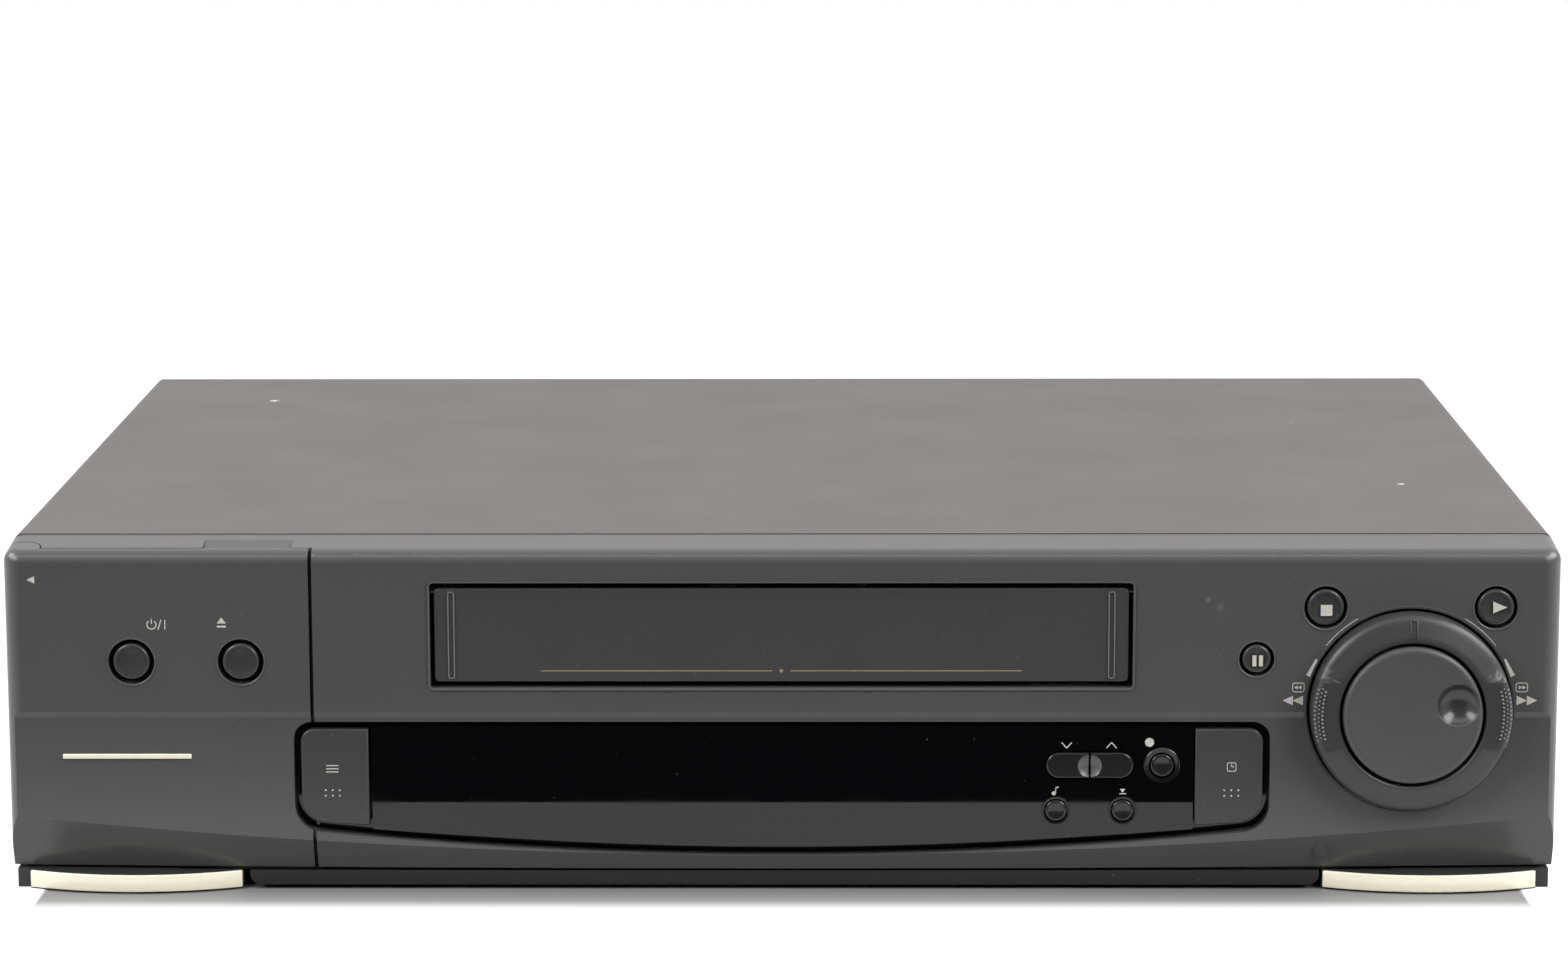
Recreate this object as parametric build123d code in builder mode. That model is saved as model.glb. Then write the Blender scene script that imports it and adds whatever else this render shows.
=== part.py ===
"""Front-loading VHS video cassette recorder, built piece by piece.

Frame: +X right, +Y to the rear, +Z up. The origin is the centre of the bounding box
at floor level. All lengths are millimetres. "Depth" is a distance behind the front
face of the bezel, so a point at depth d has Y = front_y + d.
"""
import os
from math import atan2, cos, degrees, hypot, radians, sin, sqrt

from build123d import *

# ---------------------------------------------------------------- overall sizes
body_width = 430.0
body_depth = 300.0
body_height = 98.5
dial_reach = 9.0          # jog dial stands this far ahead of the bezel
jack_reach = 9.0          # rear sockets stand this far behind the cover
foot_height = 5.4
sheet = 1.0               # steel of the cover, pan and rear panel
cover_edge_r = 2.7        # rounding of the cover's two long edges
past = 1.0                # cuts run this far past a face

# ---------------------------------------------------------------- bezel and door
bezel_depth = 17.5        # bezel strip seen from above, up to the cover's edge
bezel_drop = 2.0          # front of the bezel's top under the cover top
seam_drop = 0.2           # back of the bezel's top under the cover top
bezel_bottom = 6.2
bezel_wall = 3.0
beam_top = 24.0           # solid foot of the bezel, under the keys
beam_depth = 11.0
corner_r = 5.0
top_edge_r = 3.5
crease_below_top = 47.0
crease_height = 1.8
crease_step = 0.8
tuck_angle = 22.0         # lean of the lower face under the arched line
tuck_rise = 11.4          # the arched line's ends above its middle
tuck_below_top = 88.0
seam_from_recess = 5.4    # door's seam inside the display recess's left end
seam_gap = 1.0
door_thickness = 3.0
door_gap = 0.6
ear_r = 2.6               # hinge ears, hidden inside the door's rounded end
ear_height = 3.4
ear_arm_from_axis = 1.2
lower_ear_bottom = 24.0
upper_ear_below_top = 6.9
knuckle_play = 0.4
tuck_play = 3.2           # room behind the hinge for the door's leaning foot
hinge_gap = 0.3
hinge_pin_r = 1.5
hinge_pin_length = 4.0
running_gap = 0.08        # radial play of every pin and shaft in its bore
notch_width = 24.5
notch_from_edge = 5.0     # notch's end to the door's free edge
notch_depth0 = 3.4
notch_depth1 = 12.0
notch_sink = 0.9

# ---------------------------------------------------------------- display recess
recess_half = 135.4
recess_below_top = 50.0
recess_bottom_below_top = 88.3
recess_arc_r = 1206.0
recess_top_r = 5.0
recess_bottom_r = 8.0
recess_rim = 2.6
rim_back = 6.0            # depth where the window flange seats on the rim
flange = 1.6
window_left = -113.8
window_right = 114.2
window_below_top = 51.4
window_bottom_below_top = 85.4
window_arc_r = 1385.0
window_face = 1.4         # depth of the window's front

# ---------------------------------------------------------------- keys
key_travel = 1.2
cup_wall = 1.6
cup_floor_front = 7.6
cup_floor_back = 9.4
cap_back = 6.0
stem_r = 2.5
stem_end = 10.4
stem_play = 0.2
small_key_edge_r = 0.25
small_stem_r = 1.5
side_key_inner = 114.7    # inner edge of the tall key beside the window
side_key_outer = 133.4
side_key_below_top = 52.2
side_key_bottom_below_top = 79.6
side_key_face = 1.0
side_key_back = 4.4
side_key_top_r = 3.5
side_key_bottom_r = 6.5
bead_r = 0.4              # raised beads on the tall keys
bead_pitch = 2.0
beads_per_row = 3
bead_drop = 4.0
channel_x0 = 73.4
channel_x1 = 97.6
channel_below_top = 58.9
channel_height = 7.3
channel_split = 0.5
channel_play = 0.4
thumb_dip_r = 3.4
dip_sphere_r = 10.2
power_from_left = 35.2
eject_from_left = 65.5
left_keys_below_top = 32.8
left_cap_play = 1.3       # radial gap of the power and eject caps in the door
transport_cap_r = 5.1
cap_play = 0.9            # radial gap of the other round caps
stop_web = 2.71           # wall between a key's hole and the dial's hole
stop_angle = 129.43       # direction from the dial's centre
play_web = 2.46
play_angle = 51.05
pause_web = 11.37
pause_angle = 161.48
pause_cap_r = 4.0
rec_x = 105.5
rec_below_top = 62.5
rec_cap_r = 3.2
audio_dub_x = 76.2
insert_x = 94.7
dub_below_top = 75.4
dub_cap_r = 3.0
small_hole_play = 0.4

# ---------------------------------------------------------------- dial
dial_from_right = 41.4
dial_below_top = 46.3
dial_play = 0.85          # radial gap round the shuttle ring
ring_r = 27.6
jog_play = 0.9            # radial gap between jog dial and ring
ring_front = -8.0
ring_floor_front = 4.0
ring_floor_back = 6.0
ring_hub_r = 8.0
ring_hub_end = 12.0
ring_edge_r = 1.2
jog_r = 19.2
jog_back = -3.0
jog_shaft_r = 3.0
dial_cup_floor = 7.4
dial_cup_back = 9.4
index_width = 2.3
index_length = 6.0
index_sink = 0.8
grip_notches = 9
grip_pitch = 3.6
grip_notch_r = 0.5
finger_dip_x = 12.2
finger_dip_z = 3.0
finger_dip_r = 5.9
finger_dip_sink = 2.8
encoder_size = 20.0
encoder_front = 13.2

# ---------------------------------------------------------------- front board
board_front = 15.6
board_thickness = 1.6
switch_size = 6.0
switch_front = 12.4
plunger_r = 1.7
plunger_front = 11.8
tube_x0 = -104.0
tube_x1 = 62.0
tube_z0 = 16.0
tube_height = 28.0
tube_front = 9.4
post_r = 1.8
board_bottom = 10.0
board_wing_gap = 6.0      # board's wings to the cassette slot's cheeks

# ---------------------------------------------------------------- AV pocket
pocket_from_left = 13.0
pocket_width = 62.0
pocket_z0 = 23.2
pocket_z1 = 44.0
pocket_floor = 14.6
pocket_wall = 2.0
jack_r = 4.15
jack_bore_r = 1.7
jack_length = 8.5
jack_pitch = 19.0
jack_nut_r = 6.2
jack_nut = 0.8

# ---------------------------------------------------------------- cassette path
slot_half = 97.1
slot_top_below = 10.65
slot_bottom_below = 40.3
flap_play = 1.2
flap_front = 1.0
flap_thickness = 3.0
flap_pivot_below_edge = 1.2
flap_pin_r = 1.0
flap_pin_length = 2.6
flap_rib_x = 89.0
flap_rib_gap = 2.4
flap_rib_width = 0.6
flap_rib_rise = 0.5
cheek = 3.0
cheek_back = 12.0
cassette_height = 25.0
holder_play = 0.6
holder_half_inner = 95.0
holder_front = 34.0
holder_length = 62.0
ledge_width = 14.0
plate_gap = 0.8           # sideways gap between holder, slider and carriage frame
carriage_travel = 66.0
holder_drop = 20.0
guide_pin_r = 1.5
pin_inset = 11.0
frame_front = 32.0
frame_length = 138.0
slider_depth0 = 38.0
slider_depth1 = 92.0
holder_pin_below = 10.0   # holder pins under the holder's roof
slider_pin_above = 4.0    # slider pins above the holder pins
bridge_width = 8.0
slider_pin_shift = 4.0    # slider pins lie outside the holder pins
bridge_lift = 3.0
frame_rise = 6.0          # carriage frame's top over the holder's roof
frame_foot_inset = 2.0
frame_foot_width = 4.0
frame_foot_set_back = 20.0

# ---------------------------------------------------------------- tape deck
deck_drop = 9.2           # deck plate's top under the lowered cassette floor
deck_thickness = 1.2
deck_half = 104.0
deck_front = 50.0
deck_back = 262.0
pillar_screw_depth = 4.5
pillar_r = 4.0
pillar_front_x = 90.0
pillar_front_depth = 57.0
pillar_back_x = 60.0
pillar_back_depth = 252.0
reel_half_spacing = 46.0
reel_depth = 102.0
reel_r = 21.0
reel_hub_r = 10.5
reel_table = 3.0
reel_height = 16.0
spindle_sink = 2.0        # spindles end this far under the reels' tops
reel_dogs = 6
reel_dog_length = 3.0
reel_dog_width = 1.5
spindle_r = 2.5
drum_depth = 212.0
drum_r = 31.0
drum_tilt = 5.97
drum_base_drop = 9.0
drum_lower_height = 17.0
drum_upper_height = 20.0
drum_split = 0.3
drum_shaft_r = 2.5
head_window = 3.0
head_windows = 4
drum_rise = 4.0           # lower drum's top over its base drop and height
drum_rim = 8.0            # width of the upper drum's rim
drum_recess = 3.0
drum_shaft_lift = 2.0
drum_seat = 1.5           # flange under the lower drum
capstan_x = 44.0
capstan_depth = 178.0
capstan_r = 1.5
capstan_top = 35.0        # above the deck plate
rotor_r = 22.0
rotor_height = 6.0
bearing_r = 4.0
bearing_flange_r = 5.4
bearing_height = 9.5      # over the deck plate
rotor_gap = 1.2           # rotor under the deck plate
roller_r = 8.0
roller_height = 16.0
roller_press_gap = 0.12
roller_press_angle = -20.0
arm_pivot_x = 76.0
arm_pivot_depth = 184.0
arm_swing = 34.0
arm_width = 7.0
arm_thickness = 3.0
arm_post_r = 2.0
arm_post_rise = 3.0       # pivot posts over two arm thicknesses
roller_lift = 10.5        # rollers over the deck plate
pole_x0 = 30.0
pole_depth0 = 168.0
pole_x1 = 38.0
pole_depth1 = 204.0
pole_base = 10.0
pole_base_height = 3.0
pole_r = 3.0
pole_height = 28.0
tongue_r = 1.5
slider_lift = 0.3         # running gap of sliding bases over the deck
control_head_x = 53.0
control_head_depth = 193.0
erase_head_x = -62.0
erase_head_depth = 192.0
head_height = 24.0
head_base_height = 2.0
control_base_x = 6.0      # half sizes of the fixed heads and their bases
control_base_y = 4.0
control_head_x_half = 4.0
control_head_y_half = 3.0
erase_base_x = 4.0
erase_base_y = 5.0
erase_head_r = 3.5
tension_pivot_x = -82.0
tension_pivot_depth = 178.0
tension_pole_x = -68.0
tension_pole_depth = 160.0
tension_pole_r = 1.5
cam_x = -72.0
cam_depth = 212.0
cam_r = 14.0
cam_height = 3.5
cam_lift = 7.5            # gear disc over the deck plate
cam_hub_r = 5.0
cam_teeth = 28
cam_tooth_depth = 1.2
cam_tooth_width = 1.2
worm_r = 3.0
worm_gap = 0.4
motor_r = 9.0
motor_front = 229.0
motor_back = 257.0
motor_shaft_r = 1.0
motor_foot_inset = 2.0
motor_foot_set_back = 4.0

# ---------------------------------------------------------------- electronics
main_board_z = 12.0
board_edge = 8.0          # boards stay this far from the side walls
main_board_right = 106.0
main_board_front = 26.0
board_from_rear = 14.0    # boards' rear edge ahead of the cover's
power_board_left = 112.0
power_board_front = 120.0
board_spacer_r = 3.0
pillar_clearance = 1.0
spacer_inset = 6.0
chip_columns = 4
chip_rows = 3
chip_x = -80.0
chip_depth = 80.0
chip_pitch_x = 48.0
chip_pitch_y = 62.0
chip_half_x = 12.0
chip_half_y = 7.0
chip_height = 3.0
can_columns = (-124.0, -196.0)
can_count = 6
can_depth = 60.0
can_pitch = 26.0
can_r = 5.0
can_height = 18.0
module_left = -180.0
module_right = -140.0
module_depths = (60.0, 144.0)
module_length = 60.0
module_height = 24.0
core_from_board_left = 36.0   # transformer's middle on the power board
core_from_board_front = 90.0
core_half_x = 20.0
core_half_y = 8.0
core_height = 30.0
coil_half_x = 14.0
coil_half_y = 17.0
coil_inset = 4.0
big_can_count = 3
big_can_r = 10.0
big_can_from_board_right = 16.0
big_can_from_board_front = 70.0
big_can_pitch = 24.0
sink_from_board_left = 44.0   # heat sink's middle on the power board
sink_from_board_front = 22.0
sink_half = 32.0
sink_thickness = 3.0
sink_rise = 10.0
fin_count = 6
fin_half_span = 30.0
fin_pitch = 12.0
fin_half = 1.0
fin_length = 15.0

# ---------------------------------------------------------------- rear sockets
rear_inset = 1.0
socket_clearance = 0.3
socket_collar = 2.0       # width of the collars round the rear sockets
tuner_width = 55.0
tuner_depth = 52.0
tuner_height = 24.0
tuner_from_left = 12.0
rf_pitch = 26.0
rf_r = 4.75
rf_bore_r = 4.0
rf_pin_r = 1.2
scart_x = (-88.0, -24.0)
scart_width = 52.0
scart_height = 19.0
scart_mouth_width = 46.0
scart_mouth_height = 13.0
scart_mouth_depth = 11.0
scart_depth = 16.0
socket_z = 30.0
rear_jack_x = (36.0, 52.0, 68.0, 84.0)
jack_block_depth = 12.0
inlet_from_right = 36.0
inlet_width = 26.0
inlet_height = 17.0
inlet_mouth_width = 19.0
inlet_mouth_height = 9.6
inlet_mouth_depth = 14.0
inlet_pin_length = 9.0
inlet_pin_spacing = 8.6
inlet_pin_r = 1.2
inlet_floor = 3.0

# ---------------------------------------------------------------- feet and plinth
plinth_gap_left = 2.0     # plinth's ends to the front feet
plinth_gap_right = 0.8
plinth_bottom = 1.3
plinth_front = 3.5
plinth_back = 40.0
plinth_end_r = 3.0
plinth_tab_set_back = 1.5 # pan's tabs behind the plinth's face
plinth_tab_gap = 0.2
plinth_tab_overlap = 0.1
front_foot_outer = 1.0    # inset of the foot from the side of the body
front_foot_width = 63.4
front_foot_back = 46.0
trim_inset = 3.7
trim_width = 59.7
trim_end_depth = 3.5
trim_mid_depth = -2.5
trim_thickness = 1.2
trim_bottom = 0.6
trim_top = 5.7
rear_foot_r = 15.0
rear_foot_from_side = 45.0
rear_foot_from_rear = 38.0

# ---------------------------------------------------------------- screws
screw_r = 1.5
screw_head_r = 3.6
screw_head = 1.6
side_screw_depths = (70.0, 250.0)
side_screw_z = 16.0
side_screw_length = 3.0
rear_screw_from_side = 15.0
vent_count = 12
vent_pitch = 9.0
vent_length = 22.0
vent_width = 2.4
vent_depth = 150.0
rear_screw_below_top = 12.0
rear_vent_from_right = 30.0
rear_vent_lift = 6.0      # rear vents over the body's middle
pan_flange_top = 22.0

# ---------------------------------------------------------------- derived places
half_width = body_width / 2
tuck_arc_r = half_width**2 / (2 * tuck_rise)
left_hole_r = transport_cap_r + left_cap_play
transport_hole_r = transport_cap_r + cap_play
pause_hole_r = pause_cap_r + cap_play
dial_hole_r = ring_r + dial_play
ring_bore_r = jog_r + jog_play
main_board_back = body_depth - board_from_rear
rear_foot_x = half_width - rear_foot_from_side
rear_foot_depth = body_depth - rear_foot_from_rear
rear_screw_x = (rear_screw_from_side - half_width, 0.0, half_width - rear_screw_from_side)
pocket_x0 = pocket_from_left - half_width
pocket_x1 = pocket_x0 + pocket_width
foot_inner = half_width - front_foot_outer - front_foot_width
plinth_left = plinth_gap_left - foot_inner
plinth_right = foot_inner - plinth_gap_right
front_y = dial_reach - (body_depth + dial_reach + jack_reach) / 2
rear_y = front_y + body_depth
seam_y = front_y + bezel_depth
top_z = body_height
bezel_top = top_z - bezel_drop
crease_z = top_z - crease_below_top
tuck_mid_z = top_z - tuck_below_top
seam_x = seam_from_recess + seam_gap / 2 - recess_half
door_right = seam_x - seam_gap
notch_x1 = door_right - notch_from_edge
notch_x0 = notch_x1 - notch_width
lower_face = crease_step
door_back = crease_step + door_thickness
panel_front = door_back + door_gap
hinge_x = -half_width + corner_r
lower_ear_top = lower_ear_bottom + ear_height
upper_ear_bottom = top_z - upper_ear_below_top
upper_ear_top = upper_ear_bottom + ear_height
top_slope = (bezel_drop - seam_drop) / bezel_depth
power_x = -half_width + power_from_left
eject_x = -half_width + eject_from_left
left_keys_z = top_z - left_keys_below_top
rec_z = top_z - rec_below_top
dub_z = top_z - dub_below_top
channel_z1 = top_z - channel_below_top
channel_z0 = channel_z1 - channel_height
channel_mid_x = (channel_x0 + channel_x1) / 2
channel_mid_z = (channel_z0 + channel_z1) / 2
side_key_top = top_z - side_key_below_top
side_key_bottom = top_z - side_key_bottom_below_top
side_key_x = (side_key_inner + side_key_outer) / 2
side_key_z = (side_key_top + side_key_bottom) / 2
dial_x = half_width - dial_from_right
dial_z = top_z - dial_below_top
stop_reach = dial_hole_r + transport_hole_r + stop_web
play_reach = dial_hole_r + transport_hole_r + play_web
pause_reach = dial_hole_r + pause_hole_r + pause_web
stop_x = dial_x + stop_reach * cos(radians(stop_angle))
stop_z = dial_z + stop_reach * sin(radians(stop_angle))
play_x = dial_x + play_reach * cos(radians(play_angle))
play_z = dial_z + play_reach * sin(radians(play_angle))
pause_x = dial_x + pause_reach * cos(radians(pause_angle))
pause_z = dial_z + pause_reach * sin(radians(pause_angle))
jog_front = -dial_reach
slot_top = top_z - slot_top_below
slot_bottom = top_z - slot_bottom_below
flap_half = slot_half - flap_play
flap_top = slot_top - flap_play
flap_bottom = slot_bottom + flap_play
flap_pivot_z = flap_top - flap_pivot_below_edge
flap_pivot_y = front_y + flap_front + flap_thickness / 2
cassette_floor = slot_bottom + holder_play / 2
holder_roof = cassette_floor + cassette_height + holder_play
holder_back = holder_front + holder_length
holder_out = holder_half_inner + sheet
slider_in = holder_out + plate_gap
slider_out = slider_in + sheet
frame_in = slider_out + plate_gap
frame_out = frame_in + sheet
holder_pin_z = holder_roof - holder_pin_below
slider_pin_z = holder_pin_z + slider_pin_above
deck_top = cassette_floor - holder_drop - deck_drop
deck_bottom = deck_top - deck_thickness
pan_top = foot_height + sheet
main_board_top = main_board_z + board_thickness
rear_panel_back = rear_y - rear_inset
rear_panel_front = rear_panel_back - sheet
drum_axis = Vector(sin(radians(drum_tilt)), 0, cos(radians(drum_tilt)))
press_x = capstan_x + (capstan_r + roller_r + roller_press_gap) * cos(radians(roller_press_angle))
press_reach = capstan_r + roller_r + roller_press_gap
press_depth = capstan_depth + press_reach * sin(radians(roller_press_angle))
swing_c = cos(radians(arm_swing))
swing_s = sin(radians(arm_swing))
press_dx = press_x - arm_pivot_x
press_dy = press_depth - arm_pivot_depth
roller_x = arm_pivot_x + press_dx * swing_c - press_dy * swing_s
roller_depth = arm_pivot_depth + press_dx * swing_s + press_dy * swing_c
run_mid_x = (pole_x0 + pole_x1) / 2
run_mid_depth = (pole_depth0 + pole_depth1) / 2
run_length = hypot(pole_x1 - pole_x0, pole_depth1 - pole_depth0)
run_angle = degrees(atan2(pole_depth1 - pole_depth0, pole_x1 - pole_x0))

chassis_round_keys = {
    "key_power": (power_x, left_keys_z, transport_cap_r, left_hole_r),
    "key_eject": (eject_x, left_keys_z, transport_cap_r, left_hole_r),
    "key_stop": (stop_x, stop_z, transport_cap_r, transport_hole_r),
    "key_play": (play_x, play_z, transport_cap_r, transport_hole_r),
    "key_pause": (pause_x, pause_z, pause_cap_r, pause_hole_r),
}
window_round_keys = {
    "key_rec": (rec_x, rec_z, rec_cap_r),
    "key_audio_dub": (audio_dub_x, dub_z, dub_cap_r),
    "key_insert": (insert_x, dub_z, dub_cap_r),
}
channel_left_x = (channel_x0 + channel_mid_x) / 2
channel_right_x = (channel_mid_x + channel_x1) / 2
window_stems = [(x, z) for x, z, _ in window_round_keys.values()]
window_stems += [(channel_left_x, channel_mid_z), (channel_right_x, channel_mid_z)]
side_stems = [(-side_key_x, side_key_z), (side_key_x, side_key_z)]
switch_places = [(x, z) for x, z, _, _ in chassis_round_keys.values()] + window_stems + side_stems
main_board_left = -half_width + board_edge
power_board_right = half_width - board_edge
board_spacers = [
    (x, depth)
    for x in (main_board_left + spacer_inset, main_board_right - spacer_inset)
    for depth in (main_board_front + spacer_inset, main_board_back - spacer_inset)
]
board_spacers += [
    (x, depth)
    for x in (power_board_left + spacer_inset, power_board_right - spacer_inset)
    for depth in (power_board_front + spacer_inset, main_board_back - spacer_inset)
]
deck_pillars = [
    (side * x, depth)
    for side in (-1, 1)
    for x, depth in ((pillar_front_x, pillar_front_depth), (pillar_back_x, pillar_back_depth))
]

os.makedirs("parts", exist_ok=True)


# ---------------------------------------------------------------- helpers
def front_plane(depth):
    """Plane parallel to the bezel face, local x to the right and local y up."""
    return Plane(origin=(0, front_y + depth, 0), x_dir=(1, 0, 0), z_dir=(0, -1, 0))


def block(x0, x1, depth0, depth1, z0, z1, mode=Mode.ADD):
    """Box between two X values, two depths and two heights."""
    with Locations(((x0 + x1) / 2, front_y + (depth0 + depth1) / 2, (z0 + z1) / 2)):
        Box(x1 - x0, depth1 - depth0, z1 - z0, mode=mode)


def rod_y(x, z, radius, depth0, depth1, mode=Mode.ADD):
    """Cylinder running front to back."""
    with Locations(Location((x, front_y + (depth0 + depth1) / 2, z), (90, 0, 0))):
        Cylinder(radius, abs(depth1 - depth0), mode=mode)


def rod_z(x, depth, radius, z0, z1, mode=Mode.ADD):
    """Upright cylinder."""
    with Locations((x, front_y + depth, (z0 + z1) / 2)):
        Cylinder(radius, z1 - z0, mode=mode)


def rod_x(depth, z, radius, x0, x1, mode=Mode.ADD):
    """Cylinder running left to right."""
    with Locations(Location(((x0 + x1) / 2, front_y + depth, z), (0, 90, 0))):
        Cylinder(radius, abs(x1 - x0), mode=mode)


def finish(piece, name):
    """Name a finished piece and write its file."""
    piece.part.label = name
    export_step(piece.part, f"parts/{name}.step")


def arched_outline(x0, x1, top, bottom_mid, arc_r, top_r, bottom_r, grow=0.0):
    """Rounded outline with a straight top and a bottom edge arched about x = 0."""
    left = x0 - grow
    right = x1 + grow
    low = bottom_mid - grow
    left_z = low + left**2 / (2 * arc_r)
    right_z = low + right**2 / (2 * arc_r)
    with BuildSketch() as outline:
        with BuildLine():
            Polyline((left, left_z), (left, top + grow), (right, top + grow), (right, right_z))
            ThreePointArc((right, right_z), (0, low), (left, left_z))
        make_face()
        fillet(outline.vertices().group_by(Axis.Y)[-1], radius=top_r + grow)
        lower = [v for v in outline.vertices() if v.Y < top - 2 * top_r]
        fillet(lower, radius=bottom_r + grow)
    return outline.sketch


def tuck_region(shift):
    """Space under the arched line, leaning back, for a face lying at a given depth."""
    reach = half_width + bezel_depth
    end_z = tuck_mid_z + reach**2 / (2 * tuck_arc_r)
    with BuildSketch(front_plane(shift)) as region:
        with BuildLine():
            ThreePointArc((-reach, end_z), (0, tuck_mid_z), (reach, end_z))
            Polyline((reach, end_z), (reach, -body_height), (-reach, -body_height), (-reach, end_z))
        make_face()
    lean = (0, sin(radians(tuck_angle)), -cos(radians(tuck_angle)))
    with BuildPart() as prism:
        extrude(region.sketch, amount=body_height, dir=lean)
    return prism.part


def door_zone(reach):
    """Space in front of a skin that lies a given depth behind the door's face."""
    with BuildPart() as zone:
        block(-half_width - corner_r, seam_x, -corner_r, reach, 0, body_height)
        add(tuck_region(reach))
        block(-half_width - corner_r, seam_x, -corner_r, bezel_depth, 0, body_height, mode=Mode.INTERSECT)
    return zone.part


# ---------------------------------------------------------------- front envelope
# Outer shape that the bezel and the door share.
with BuildPart() as envelope:
    with BuildSketch(Plane.YZ.offset(-half_width)):
        with BuildLine():
            Polyline(
                (seam_y, bezel_bottom),
                (front_y + lower_face, bezel_bottom),
                (front_y + lower_face, crease_z - crease_height),
                (front_y, crease_z),
                (front_y, bezel_top),
                (seam_y, top_z - seam_drop),
                close=True,
            )
        make_face()
    extrude(amount=body_width)
    with BuildSketch(Plane.XY) as plan:
        with Locations((0, (front_y + seam_y) / 2)):
            Rectangle(body_width, bezel_depth)
        fillet(plan.vertices().group_by(Axis.Y)[0], radius=corner_r)
    extrude(amount=body_height, mode=Mode.INTERSECT)
    top_edges = envelope.faces().sort_by(Axis.Z)[-1].edges()
    fillet([e for e in top_edges if e.center().Y < seam_y - running_gap], radius=top_edge_r)
    add(tuck_region(lower_face), mode=Mode.SUBTRACT)

recess_outline = arched_outline(
    -recess_half, recess_half, top_z - recess_below_top, top_z - recess_bottom_below_top,
    recess_arc_r, recess_top_r, recess_bottom_r,
)
rim_outline = arched_outline(
    -recess_half, recess_half, top_z - recess_below_top, top_z - recess_bottom_below_top,
    recess_arc_r, recess_top_r, recess_bottom_r, grow=recess_rim,
)
window_outline = arched_outline(
    window_left, window_right, top_z - window_below_top, top_z - window_bottom_below_top,
    window_arc_r, stem_play, stem_play,
)


def skin_depth(x):
    """Depth of the bezel's skin: set back behind the door, flush elsewhere."""
    return panel_front if x < seam_x else lower_face


def on_face(sketch, depth):
    """Outline moved from the drawing plane to a plane parallel to the bezel."""
    return front_plane(depth) * sketch


# ---------------------------------------------------------------- front bezel
post_z = slot_bottom - cheek - post_r
board_posts = [
    (-slot_half, post_z), (slot_half + 2 * post_r, post_z), (pause_x, stop_z + post_r),
    (stop_x, board_bottom + post_r), ((power_x + eject_x) / 2, post_z),
]
ear_ranges = [(lower_ear_bottom, lower_ear_top), (upper_ear_bottom, upper_ear_top)]

with BuildPart() as ears:
    for z0, z1 in ear_ranges:
        rod_z(hinge_x, corner_r, ear_r, z0, z1)
        block(
            hinge_x + ear_arm_from_axis, hinge_x + 2 * corner_r,
            corner_r + hinge_gap, notch_depth1 + corner_r, z0, z1,
        )

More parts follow.
